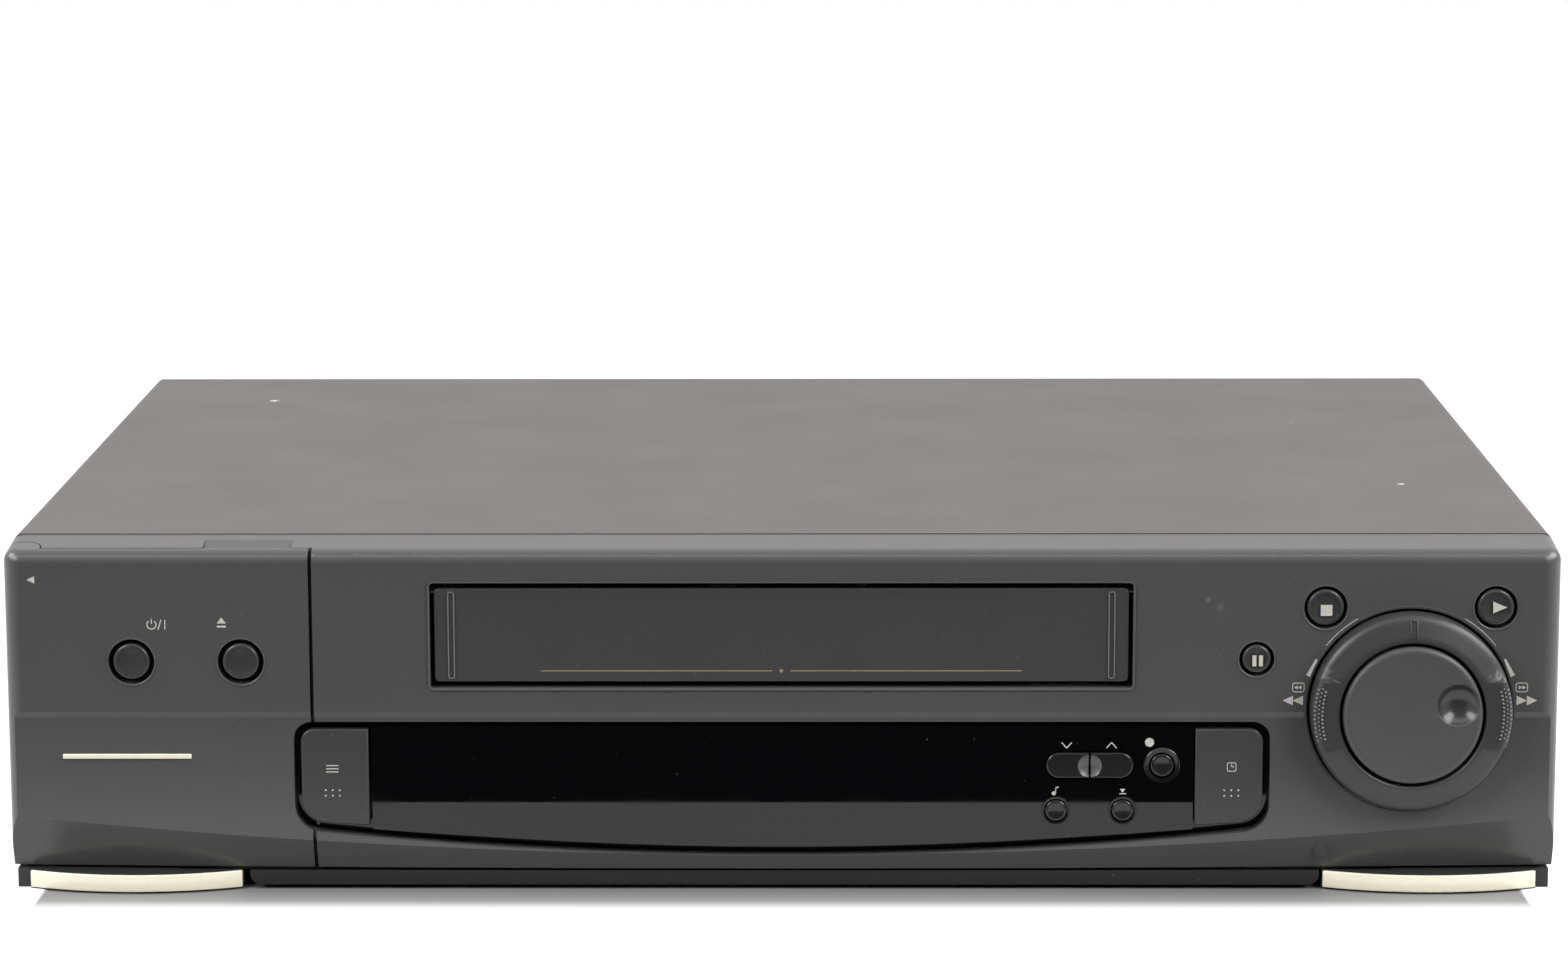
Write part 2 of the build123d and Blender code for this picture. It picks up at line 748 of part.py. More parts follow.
with BuildPart() as front_bezel:
    add(envelope.part)
    hollow_floor = bezel_bottom + bezel_wall
    hollow_right = half_width - bezel_wall
    hollow_left = -half_width + 2 * corner_r + bezel_wall
    hollow_top = bezel_top - bezel_wall
    hollow_seam = seam_x + bezel_wall
    block(hollow_seam, hollow_right, door_back, bezel_depth, beam_top, hollow_top, mode=Mode.SUBTRACT)
    block(hollow_seam, hollow_right, beam_depth, bezel_depth, hollow_floor, beam_top, mode=Mode.SUBTRACT)
    block(
        hollow_left, hollow_seam, panel_front + bezel_wall, bezel_depth,
        beam_top, hollow_top, mode=Mode.SUBTRACT,
    )
    block(
        hollow_left, hollow_seam, pocket_floor, bezel_depth,
        hollow_floor, beam_top, mode=Mode.SUBTRACT,
    )
    # Door side: a set-back panel with room for the door's knuckle.
    add(door_zone(panel_front), mode=Mode.SUBTRACT)
    rod_z(hinge_x, corner_r, corner_r + knuckle_play, lower_ear_bottom, body_height, mode=Mode.SUBTRACT)
    rod_z(hinge_x, corner_r, corner_r + tuck_play, 0, lower_ear_bottom, mode=Mode.SUBTRACT)
    add(ears.part)
    rod_z(hinge_x, corner_r, hinge_pin_r, lower_ear_top - hinge_gap, lower_ear_top + hinge_pin_length)
    upper_pin_bottom = upper_ear_bottom - hinge_pin_length
    rod_z(hinge_x, corner_r, hinge_pin_r, upper_pin_bottom, upper_ear_bottom + hinge_gap)
    # Ramp behind the door's top edge for a fingertip.
    with BuildSketch(Plane.YZ.offset(notch_x0)):
        with BuildLine():
            Polyline(
                (front_y + notch_depth0, bezel_top - notch_sink),
                (front_y + notch_depth1, bezel_top + top_slope * notch_depth1),
                (front_y + notch_depth1, body_height), (front_y + notch_depth0, body_height),
                close=True,
            )
        make_face()
    extrude(amount=notch_width, mode=Mode.SUBTRACT)
    # Pocket for the front audio and video sockets.
    block(
        pocket_x0 - pocket_wall, pocket_x1 + pocket_wall, panel_front, pocket_floor + pocket_wall,
        pocket_z0 - pocket_wall, pocket_z1 + pocket_wall,
    )
    block(pocket_x0, pocket_x1, 0, pocket_floor, pocket_z0, pocket_z1, mode=Mode.SUBTRACT)
    # Cassette slot with cheeks that carry the flap.
    block(
        -slot_half - cheek, slot_half + cheek, flap_front, cheek_back,
        slot_bottom - cheek, hollow_top,
    )
    block(-slot_half, slot_half, -cheek, bezel_depth, slot_bottom, slot_top, mode=Mode.SUBTRACT)
    block(
        -slot_half, slot_half, flap_front + flap_thickness + cheek, bezel_depth,
        slot_bottom - cheek, hollow_top, mode=Mode.SUBTRACT,
    )
    for side in (-1, 1):
        rod_x(
            flap_pivot_y - front_y, flap_pivot_z, flap_pin_r + running_gap,
            side * (slot_half + cheek / 2) - cheek, side * (slot_half + cheek / 2) + cheek,
            mode=Mode.SUBTRACT,
        )
    # Rim and opening of the display recess.
    extrude(on_face(rim_outline, door_back), amount=door_back - rim_back)
    extrude(on_face(recess_outline, -cheek), amount=-cheek - rim_back, mode=Mode.SUBTRACT)
    extrude(on_face(rim_outline, rim_back), amount=rim_back - bezel_depth, mode=Mode.SUBTRACT)
    # Cups that hold and guide the round keys.
    for x, z, _, hole_r in chassis_round_keys.values():
        rod_y(x, z, hole_r + cup_wall, skin_depth(x), cup_floor_back)
        rod_y(x, z, hole_r, -cheek, cup_floor_front, mode=Mode.SUBTRACT)
        rod_y(x, z, stem_r + stem_play, cup_floor_front, cup_floor_back, mode=Mode.SUBTRACT)
    # Dial well with the bearing hole for the ring's hub.
    rod_y(dial_x, dial_z, dial_hole_r + cup_wall, lower_face, dial_cup_back)
    rod_y(dial_x, dial_z, dial_hole_r, -cheek, dial_cup_floor, mode=Mode.SUBTRACT)
    rod_y(dial_x, dial_z, ring_hub_r + running_gap, 0, bezel_depth, mode=Mode.SUBTRACT)
    # Posts that carry the front board.
    for x, z in board_posts:
        rod_y(x, z, post_r, skin_depth(x) + sheet, board_front)
finish(front_bezel, "front_bezel")

# ---------------------------------------------------------------- door
with BuildPart() as av_door:
    add(door_zone(door_back))
    rod_z(hinge_x, corner_r, corner_r, lower_ear_bottom + hinge_gap, body_height)
    add(envelope.part, mode=Mode.INTERSECT)
    block(door_right, seam_x, -corner_r, bezel_depth, 0, body_height, mode=Mode.SUBTRACT)
    for z0, z1 in ear_ranges:
        rod_z(hinge_x, corner_r, ear_r + hinge_gap, z0 - hinge_gap, z1 + hinge_gap, mode=Mode.SUBTRACT)
        block(
            -half_width, hinge_x + 2 * corner_r, corner_r, bezel_depth,
            z0 - hinge_gap, z1 + hinge_gap, mode=Mode.SUBTRACT,
        )
    rod_z(
        hinge_x, corner_r, hinge_pin_r + running_gap,
        lower_ear_top, lower_ear_top + hinge_pin_length + hinge_gap, mode=Mode.SUBTRACT,
    )
    rod_z(
        hinge_x, corner_r, hinge_pin_r + running_gap,
        upper_ear_bottom - hinge_pin_length - hinge_gap, upper_ear_bottom, mode=Mode.SUBTRACT,
    )
    for x in (power_x, eject_x):
        rod_y(x, left_keys_z, left_hole_r, -cheek, bezel_depth, mode=Mode.SUBTRACT)
    extrude(on_face(recess_outline, -cheek), amount=-bezel_depth, mode=Mode.SUBTRACT)
finish(av_door, "av_door")

# ---------------------------------------------------------------- plinth, feet
with BuildPart() as front_plinth:
    with BuildSketch(front_plane(plinth_front)) as plinth_face:
        with BuildLine():
            Polyline(
                (plinth_left, foot_height), (plinth_left, plinth_bottom),
                (plinth_right, plinth_bottom), (plinth_right, foot_height), close=True,
            )
        make_face()
        fillet(plinth_face.vertices().group_by(Axis.Y)[0], radius=plinth_end_r)
    extrude(amount=plinth_front - plinth_back)
finish(front_plinth, "front_plinth")


def crescent(x_mid, width, end_depth, mid_depth, back_depth):
    """Plan outline with a bowed front between two depths and a straight back."""
    with BuildSketch() as outline:
        with BuildLine():
            left = (x_mid - width / 2, front_y + end_depth)
            right = (x_mid + width / 2, front_y + end_depth)
            ThreePointArc(left, (x_mid, front_y + mid_depth), right)
            Polyline(
                right, (right[0], front_y + back_depth), (left[0], front_y + back_depth), left,
            )
        make_face()
    return outline.sketch


trim_mid_x = half_width - front_foot_outer - trim_inset - trim_width / 2
foot_mid_x = half_width - front_foot_outer - front_foot_width / 2
inner_end = trim_end_depth + trim_thickness
inner_mid = trim_mid_depth + trim_thickness
with BuildPart() as front_feet:
    for side in (-1, 1):
        foot_plan = crescent(side * trim_mid_x, trim_width, inner_end, inner_mid, front_foot_back)
        extrude(Plane.XY * foot_plan, amount=foot_height)
        block(
            side * foot_mid_x - front_foot_width / 2, side * foot_mid_x + front_foot_width / 2,
            inner_end + trim_thickness, front_foot_back, 0, foot_height,
        )
finish(front_feet, "front_feet")

with BuildPart() as foot_trims:
    for side in (-1, 1):
        outer_plan = crescent(side * trim_mid_x, trim_width, trim_end_depth, trim_mid_depth, inner_end)
        inner_plan = crescent(side * trim_mid_x, trim_width, inner_end, inner_mid, front_foot_back)
        extrude(Plane.XY.offset(trim_bottom) * (outer_plan - inner_plan), amount=trim_top - trim_bottom)
finish(foot_trims, "foot_trims")

with BuildPart() as rear_feet:
    for side in (-1, 1):
        rod_z(side * rear_foot_x, rear_foot_depth, rear_foot_r, 0, foot_height)
    fillet(rear_feet.edges().group_by(Axis.Z)[0], radius=sheet)
finish(rear_feet, "rear_feet")

# ---------------------------------------------------------------- base pan
pan_half = half_width - sheet / 2 - sheet - hinge_gap
with BuildPart() as base_pan:
    block(-pan_half, pan_half, bezel_depth, body_depth - rear_inset - sheet, foot_height, pan_top)
    for side in (-1, 1):
        x = side * (pan_half - sheet / 2)
        block(
            x - sheet / 2, x + sheet / 2, bezel_depth, body_depth - rear_inset - sheet,
            foot_height, pan_flange_top,
        )
    for x, depth in deck_pillars:
        rod_z(x, depth, pillar_r, pan_top - sheet / 2, deck_bottom)
        rod_z(x, depth, screw_r, deck_bottom - pillar_screw_depth, deck_bottom, mode=Mode.SUBTRACT)
    for x, depth in board_spacers:
        rod_z(x, depth, board_spacer_r, pan_top - sheet / 2, main_board_z)
    for side in (-1, 1):
        for depth in side_screw_depths:
            rod_x(
                depth, side_screw_z, screw_r, side * (pan_half - sheet / 2) - sheet,
                side * (pan_half - sheet / 2) + sheet, mode=Mode.SUBTRACT,
            )
    for x in (plinth_left, plinth_right):
        block(
            x - plinth_back / 2, x + plinth_back / 2, plinth_front + plinth_tab_set_back,
            bezel_depth + plinth_tab_overlap, foot_height, bezel_bottom - plinth_tab_gap,
        )
finish(base_pan, "base_pan")

# ---------------------------------------------------------------- top cover
cover_half = half_width - sheet / 2
with BuildPart() as top_cover:
    with BuildSketch(Plane.XZ.offset(-seam_y)) as cover_section:
        with BuildLine():
            Polyline(
                (-cover_half, bezel_bottom), (-cover_half, top_z), (cover_half, top_z),
                (cover_half, bezel_bottom), (cover_half - sheet, bezel_bottom),
                (cover_half - sheet, top_z - sheet), (-cover_half + sheet, top_z - sheet),
                (-cover_half + sheet, bezel_bottom), close=True,
            )
        make_face()
        fillet(cover_section.vertices().group_by(Axis.Y)[-1], radius=cover_edge_r)
        inner = [v for v in cover_section.vertices() if abs(v.Y - top_z + sheet) < running_gap]
        fillet(inner, radius=cover_edge_r - sheet)
    extrude(amount=-(body_depth - bezel_depth))
    for side in (-1, 1):
        x = side * (cover_half - sheet / 2)
        for depth in side_screw_depths:
            rod_x(depth, side_screw_z, screw_head_r + stem_play, x - sheet, x + sheet, mode=Mode.SUBTRACT)
        for index in range(vent_count):
            depth = vent_depth + index * vent_pitch
            block(
                x - sheet, x + sheet, depth, depth + vent_width,
                body_height / 2, body_height / 2 + vent_length, mode=Mode.SUBTRACT,
            )
finish(top_cover, "top_cover")

# ---------------------------------------------------------------- rear panel
rear_half = cover_half - sheet - hinge_gap
rear_top = top_z - sheet - hinge_gap
rear_depth0 = rear_panel_front - front_y
rear_depth1 = rear_panel_back - front_y
tuner_x = -half_width + tuner_from_left + tuner_width / 2
inlet_x = half_width - inlet_from_right
rear_screw_z = top_z - rear_screw_below_top
rear_vent_z = body_height / 2 + rear_vent_lift
with BuildPart() as rear_panel:
    block(
        -rear_half, rear_half, rear_depth0, rear_depth1,
        pan_top, rear_top,
    )
    fillet(rear_panel.edges().filter_by(Axis.Y).group_by(Axis.Z)[-1], radius=cover_edge_r - sheet)
    for side in (-1, 1):
        rod_y(
            tuner_x + side * rf_pitch / 2, socket_z, rf_r + socket_collar + socket_clearance,
            rear_depth0 - past, rear_depth1 + past, mode=Mode.SUBTRACT,
        )
    for x in scart_x:
        block(
            x - scart_mouth_width / 2, x + scart_mouth_width / 2, rear_depth0 - past, rear_depth1 + past,
            socket_z - scart_mouth_height / 2, socket_z + scart_mouth_height / 2, mode=Mode.SUBTRACT,
        )
    for x in rear_jack_x:
        rod_y(
            x, socket_z, jack_nut_r + socket_clearance, rear_depth0 - past, rear_depth1 + past,
            mode=Mode.SUBTRACT,
        )
    block(
        inlet_x - inlet_width / 2 - socket_clearance, inlet_x + inlet_width / 2 + socket_clearance,
        rear_depth0 - past, rear_depth1 + past, socket_z - inlet_height / 2 - socket_clearance,
        socket_z + inlet_height / 2 + socket_clearance, mode=Mode.SUBTRACT,
    )
    for x in rear_screw_x:
        rod_y(x, rear_screw_z, screw_r, rear_depth0 - past, rear_depth1 + past, mode=Mode.SUBTRACT)
    for index in range(vent_count):
        x = half_width - rear_vent_from_right - index * vent_pitch
        block(
            x - vent_width / 2, x + vent_width / 2, rear_depth0 - past, rear_depth1 + past,
            rear_vent_z, rear_vent_z + vent_length, mode=Mode.SUBTRACT,
        )
finish(rear_panel, "rear_panel")

# ---------------------------------------------------------------- cover screws
with BuildPart() as cover_screws:
    for side in (-1, 1):
        seat = side * pan_half
        for depth in side_screw_depths:
            rod_x(depth, side_screw_z, screw_head_r, seat, seat + side * screw_head)
            rod_x(depth, side_screw_z, screw_r - running_gap, seat - side * side_screw_length, seat)
    for x in rear_screw_x:
        rod_y(x, rear_screw_z, screw_head_r, rear_depth1, rear_depth1 + screw_head)
        rod_y(x, rear_screw_z, screw_r - running_gap, rear_depth0 - 2 * sheet, rear_depth1)
finish(cover_screws, "cover_screws")

# ---------------------------------------------------------------- display window
key_hole_back = rim_back - stem_play
with BuildPart() as display_window:
    extrude(on_face(rim_outline, rim_back), amount=-flange)
    extrude(on_face(window_outline, window_face), amount=window_face - rim_back)
    for x, z, cap_r in window_round_keys.values():
        rod_y(x, z, cap_r + small_hole_play, -cheek, key_hole_back, mode=Mode.SUBTRACT)
    with BuildSketch(front_plane(0)) as channel_hole:
        with Locations((channel_mid_x, channel_mid_z)):
            SlotOverall(
                channel_x1 - channel_x0 + 2 * channel_play, channel_height + 2 * channel_play,
            )
    extrude(amount=-key_hole_back, mode=Mode.SUBTRACT)
    for x, z in window_stems:
        rod_y(x, z, small_stem_r + stem_play, 0, stem_end, mode=Mode.SUBTRACT)
    for x, z in side_stems:
        rod_y(x, z, stem_r + stem_play, 0, stem_end, mode=Mode.SUBTRACT)
finish(display_window, "display_window")

# ---------------------------------------------------------------- keys
for name, (x, z, cap_r, _) in chassis_round_keys.items():
    with BuildPart() as key:
        rod_y(x, z, cap_r, 0, cap_back)
        fillet(key.edges().group_by(Axis.Y)[0], radius=sheet / 2)
        rod_y(x, z, stem_r, cap_back, stem_end)
    finish(key, name)

for name, (x, z, cap_r) in window_round_keys.items():
    with BuildPart() as key:
        rod_y(x, z, cap_r, window_face - sheet / 2, key_hole_back - key_travel - stem_play)
        fillet(key.edges().group_by(Axis.Y)[0], radius=small_key_edge_r)
        rod_y(x, z, small_stem_r, window_face, stem_end)
    finish(key, name)

channel_keys = {
    "key_channel_down": (channel_x0, channel_mid_x - channel_split / 2, channel_left_x),
    "key_channel_up": (channel_mid_x + channel_split / 2, channel_x1, channel_right_x),
}
channel_back = key_hole_back - key_travel - stem_play
for name, (x0, x1, stem_x) in channel_keys.items():
    with BuildPart() as key:
        with BuildSketch(front_plane(window_face - sheet / 2)) as cap_face:
            with Locations((channel_mid_x, channel_mid_z)):
                SlotOverall(channel_x1 - channel_x0, channel_height)
        extrude(amount=window_face - sheet / 2 - channel_back)
        block(x0, x1, 0, channel_back, channel_z0, channel_z1, mode=Mode.INTERSECT)
        dip_depth = window_face - sheet / 2 - sqrt(dip_sphere_r**2 - thumb_dip_r**2)
        with Locations((channel_mid_x, front_y + dip_depth, channel_mid_z)):
            Sphere(dip_sphere_r, mode=Mode.SUBTRACT)
        rod_y(stem_x, channel_mid_z, small_stem_r, window_face + sheet / 2, stem_end)
    finish(key, name)

for name, side in (("key_menu", -1), ("key_timer", 1)):
    with BuildPart() as key:
        with BuildSketch(front_plane(side_key_face)) as cap_face:
            with BuildLine():
                Polyline(
                    (side * side_key_inner, side_key_bottom - sheet / 2),
                    (side * side_key_inner, side_key_top),
                    (side * side_key_outer, side_key_top),
                    (side * side_key_outer, side_key_bottom + sheet), close=True,
                )
            make_face()
            outer = cap_face.vertices().filter_by(lambda v: abs(v.X) > side_key_x)
            fillet(outer.sort_by(Axis.Y)[-1], radius=side_key_top_r)
            outer = cap_face.vertices().filter_by(lambda v: abs(v.X) > side_key_x)
            fillet(outer.sort_by(Axis.Y)[0], radius=side_key_bottom_r)
        extrude(amount=side_key_face - side_key_back)
        fillet(key.edges().group_by(Axis.Y)[0], radius=sheet / 2)
        rod_y(side * side_key_x, side_key_z, stem_r, side_key_back - sheet, stem_end)
        with Locations((side * side_key_x, front_y + side_key_face, side_key_z - bead_drop)):
            with GridLocations(bead_pitch, 0, beads_per_row, 1):
                for row in (-1, 1):
                    with Locations((0, 0, row * bead_pitch / 2)):
                        Sphere(bead_r)
    finish(key, name)

# ---------------------------------------------------------------- dial
with BuildPart() as shuttle_ring:
    rod_y(dial_x, dial_z, ring_r, ring_front, ring_floor_back)
    fillet(shuttle_ring.edges().group_by(Axis.Y)[0], radius=ring_edge_r)
    rod_y(dial_x, dial_z, ring_bore_r, ring_front - past, ring_floor_front, mode=Mode.SUBTRACT)
    rod_y(dial_x, dial_z, ring_hub_r, ring_floor_back, ring_hub_end)
    rod_y(dial_x, dial_z, jog_shaft_r + running_gap, 0, ring_hub_end, mode=Mode.SUBTRACT)
    block(
        dial_x - index_width / 2, dial_x + index_width / 2, ring_front, ring_front + index_sink,
        dial_z + ring_r - index_length, dial_z + ring_r, mode=Mode.SUBTRACT,
    )
    for side in (0, 180):
        for index in range(grip_notches):
            angle = radians(side + (index - (grip_notches - 1) / 2) * grip_pitch)
            rod_y(
                dial_x + ring_r * cos(angle), dial_z + ring_r * sin(angle), grip_notch_r,
                ring_front, -1, mode=Mode.SUBTRACT,
            )
finish(shuttle_ring, "shuttle_ring")

finger_sphere_r = (finger_dip_r**2 + finger_dip_sink**2) / (2 * finger_dip_sink)
with BuildPart() as jog_dial:
    rod_y(dial_x, dial_z, jog_r, jog_front, jog_back)
    fillet(jog_dial.edges().group_by(Axis.Y)[0], radius=ring_edge_r)
    rod_y(dial_x, dial_z, jog_shaft_r, jog_back, board_front - stem_play)
    sphere_depth = jog_front + finger_dip_sink - finger_sphere_r
    with Locations((dial_x + finger_dip_x, front_y + sphere_depth, dial_z + finger_dip_z)):
        Sphere(finger_sphere_r, mode=Mode.SUBTRACT)
finish(jog_dial, "jog_dial")

with BuildPart() as jog_encoder:
    block(
        dial_x - encoder_size / 2, dial_x + encoder_size / 2, encoder_front, board_front,
        dial_z - encoder_size / 2, dial_z + encoder_size / 2,
    )
    rod_y(dial_x, dial_z, jog_shaft_r + running_gap, encoder_front, board_front, mode=Mode.SUBTRACT)
finish(jog_encoder, "jog_encoder")

# ---------------------------------------------------------------- front board
board_back = board_front + board_thickness
wing_half = slot_half + cheek + board_wing_gap
with BuildPart() as front_board:
    board_left = pocket_x1 + pocket_wall + board_edge
    board_right = half_width - board_edge
    low_top = slot_bottom - sheet
    block(board_left, board_right, board_front, board_back, board_bottom, low_top)
    block(wing_half, board_right, board_front, board_back, board_bottom, top_z - board_edge)
    block(
        -half_width + 2 * board_edge, -wing_half, board_front, board_back,
        low_top - board_edge, left_keys_z + board_edge,
    )
finish(front_board, "front_board")

with BuildPart() as display_tube:
    block(tube_x0, tube_x1, tube_front, board_front, tube_z0, tube_z0 + tube_height)
finish(display_tube, "display_tube")

with BuildPart() as tact_switches:
    for x, z in switch_places:
        block(
            x - switch_size / 2, x + switch_size / 2, switch_front, board_front,
            z - switch_size / 2, z + switch_size / 2,
        )
        rod_y(x, z, plunger_r, plunger_front, switch_front)
finish(tact_switches, "tact_switches")


def phono_jack(x, z, panel, reach):
    """Phono socket: nut face on a panel and a shell pointing forward or back."""
    tip = panel + reach
    root = panel + (jack_nut if reach > 0 else -jack_nut)
    rod_y(x, z, jack_nut_r, min(panel, root), max(panel, root))
    rod_y(x, z, jack_r, min(panel, tip), max(panel, tip))
    end = max(root, tip) + (past if reach > 0 else 0)
    rod_y(x, z, jack_bore_r, min(root, tip), end, mode=Mode.SUBTRACT)


pocket_mid_x = (pocket_x0 + pocket_x1) / 2
pocket_mid_z = (pocket_z0 + pocket_z1) / 2
with BuildPart() as front_jacks:
    for index in (-1, 0, 1):
        phono_jack(pocket_mid_x + index * jack_pitch, pocket_mid_z, pocket_floor, -jack_length)
finish(front_jacks, "front_jacks")

# ---------------------------------------------------------------- cassette flap
with BuildPart() as cassette_flap:
    block(-flap_half, flap_half, flap_front, flap_front + flap_thickness, flap_bottom, flap_top)
    fillet(cassette_flap.edges().filter_by(Axis.X).group_by(Axis.Y)[0], radius=sheet / 2)
    for side in (-1, 1):
        rod_x(
            flap_pivot_y - front_y, flap_pivot_z, flap_pin_r,
            side * (flap_half - flap_pin_r), side * (flap_half + flap_pin_length),
        )
        for offset in (0, flap_rib_gap):
            x = side * (flap_rib_x + offset)
            block(
                x - flap_rib_width / 2, x + flap_rib_width / 2, flap_front - flap_rib_rise, flap_front,
                flap_bottom + sheet, flap_top - 2 * sheet,
            )
finish(cassette_flap, "cassette_flap")

# ---------------------------------------------------------------- carriage
pin_depths = (holder_front + pin_inset, holder_back - pin_inset)
slider_pin_inset = pin_inset - slider_pin_shift
slider_pin_depths = (slider_depth0 + slider_pin_inset, slider_depth1 - slider_pin_inset)
with BuildPart() as cassette_holder:
    for side in (-1, 1):
        x = side * (holder_half_inner + sheet / 2)
        block(
            x - sheet / 2, x + sheet / 2, holder_front, holder_back,
            cassette_floor - sheet, holder_roof + sheet,
        )
        x = side * (holder_out - ledge_width / 2)
        block(
            x - ledge_width / 2, x + ledge_width / 2, holder_front, holder_back,
            cassette_floor - sheet, cassette_floor,
        )
        for depth in pin_depths:
            rod_x(
                depth, holder_pin_z, guide_pin_r, side * holder_out,
                side * (slider_out - stem_play),
            )
    block(-holder_out, holder_out, holder_front, holder_back, holder_roof, holder_roof + sheet)
finish(cassette_holder, "cassette_holder")

with BuildPart() as carriage_slider:
    bridge_z = holder_roof + bridge_lift
    for side in (-1, 1):
        x = side * (slider_in + sheet / 2)
        block(
            x - sheet / 2, x + sheet / 2, slider_depth0, slider_depth1,
            holder_pin_z - holder_drop - 2 * guide_pin_r - past, bridge_z + sheet,
        )
        for depth in pin_depths:
            slot_r = guide_pin_r + running_gap
            rod_x(depth, holder_pin_z, slot_r, x - sheet, x + sheet, mode=Mode.SUBTRACT)
            rod_x(depth, holder_pin_z - holder_drop, slot_r, x - sheet, x + sheet, mode=Mode.SUBTRACT)
            block(
                x - sheet, x + sheet, depth - slot_r, depth + slot_r,
                holder_pin_z - holder_drop, holder_pin_z, mode=Mode.SUBTRACT,
            )
        for depth in slider_pin_depths:
            rod_x(
                depth, slider_pin_z + guide_pin_r, guide_pin_r, side * (slider_in + sheet / 2),
                side * (frame_out - stem_play),
            )
    mid = (slider_depth0 + slider_depth1) / 2
    block(
        -slider_out, slider_out, mid - bridge_width / 2, mid + bridge_width / 2,
        bridge_z, bridge_z + sheet,
    )
finish(carriage_slider, "carriage_slider")

with BuildPart() as carriage_frame:
    frame_top = holder_roof + frame_rise
    for side in (-1, 1):
        x = side * (frame_in + sheet / 2)
        block(
            x - sheet / 2, x + sheet / 2, frame_front, frame_front + frame_length,
            deck_bottom, frame_top,
        )
        slot_r = guide_pin_r + running_gap
        slot_z = slider_pin_z + guide_pin_r
        first = slider_pin_depths[0]
        last = slider_pin_depths[1] + carriage_travel
        rod_x(first, slot_z, slot_r, x - sheet, x + sheet, mode=Mode.SUBTRACT)
        rod_x(last, slot_z, slot_r, x - sheet, x + sheet, mode=Mode.SUBTRACT)
        block(x - sheet, x + sheet, first, last, slot_z - slot_r, slot_z + slot_r, mode=Mode.SUBTRACT)
        foot_x = side * (deck_half + frame_foot_inset + frame_foot_width)
        block(
            min(side * frame_in, foot_x), max(side * frame_in, foot_x),
            deck_front + frame_foot_set_back, frame_front + frame_length, deck_top, deck_top + sheet,
        )
    block(
        -frame_out, frame_out, frame_front + frame_length - bridge_width,
        frame_front + frame_length, frame_top - sheet, frame_top,
    )
finish(carriage_frame, "carriage_frame")

# ---------------------------------------------------------------- deck plate
drum_base = deck_top - drum_base_drop
post_top_z = deck_top + 2 * arm_thickness + arm_post_rise
drum_plane = Plane(
    origin=(0, front_y + drum_depth, drum_base),
    x_dir=(cos(radians(drum_tilt)), 0, -sin(radians(drum_tilt))),
    z_dir=tuple(drum_axis),
)

with BuildPart() as deck_plate:
    block(-deck_half, deck_half, deck_front, deck_back, deck_bottom, deck_top)
    for side in (-1, 1):
        x = side * (frame_in + sheet / 2)
        block(
            x - sheet, x + sheet, deck_front - past, frame_front + frame_length + past,
            deck_bottom - past, deck_top + past, mode=Mode.SUBTRACT,
        )
        for end_x, end_depth in ((pole_x0, pole_depth0), (pole_x1, pole_depth1)):
            rod_z(
                side * end_x, end_depth, tongue_r + running_gap, deck_bottom - past, deck_top + past,
                mode=Mode.SUBTRACT,
            )
        run_place = (side * run_mid_x, front_y + run_mid_depth, deck_top - deck_thickness / 2)
        with Locations(Location(run_place, (0, 0, side * run_angle))):
            Box(run_length, 2 * (tongue_r + running_gap), deck_thickness + 2 * past, mode=Mode.SUBTRACT)
        rod_z(side * reel_half_spacing, reel_depth, spindle_r, deck_top, deck_top + reel_height - spindle_sink)
    with Locations(drum_plane):
        Cylinder(drum_r - 2 * sheet + hinge_gap, 4 * drum_base_drop, mode=Mode.SUBTRACT)
    rod_z(
        capstan_x, capstan_depth, capstan_r + sheet, deck_bottom - past, deck_top + past,
        mode=Mode.SUBTRACT,
    )
    rod_z(arm_pivot_x, arm_pivot_depth, arm_post_r, deck_top, post_top_z)
    rod_z(tension_pivot_x, tension_pivot_depth, arm_post_r, deck_top, post_top_z)
    rod_z(cam_x, cam_depth, arm_post_r, deck_top, deck_top + cam_lift + cam_height + sheet)
    for x, depth in deck_pillars:
        rod_z(x, depth, screw_r, deck_bottom - past, deck_top + past, mode=Mode.SUBTRACT)
finish(deck_plate, "deck_plate")

with BuildPart() as deck_screws:
    for x, depth in deck_pillars:
        rod_z(x, depth, 2 * screw_r, deck_top, deck_top + screw_r)
        rod_z(x, depth, screw_r - running_gap, deck_bottom - 2 * screw_r, deck_top)
finish(deck_screws, "deck_screws")


# ---------------------------------------------------------------- head drum
def drum_disc(radius, low, high, mode=Mode.ADD):
    """Disc on the tilted drum axis, between two heights over the drum's base."""
    with Locations(drum_plane.offset((low + high) / 2)):
        Cylinder(radius, high - low, mode=mode)


drum_lower_top = drum_base_drop + drum_lower_height + drum_rise
with BuildPart() as drum_lower:
    drum_disc(drum_r - 2 * sheet, 0, drum_lower_top - sheet)
    drum_disc(drum_r, drum_lower_top - drum_lower_height, drum_lower_top)
    rod_z(0, drum_depth, drum_r + drum_seat, deck_top, deck_top + drum_seat)
    drum_disc(drum_shaft_r + running_gap, drum_base_drop, drum_lower_top + past, mode=Mode.SUBTRACT)
finish(drum_lower, "drum_lower")

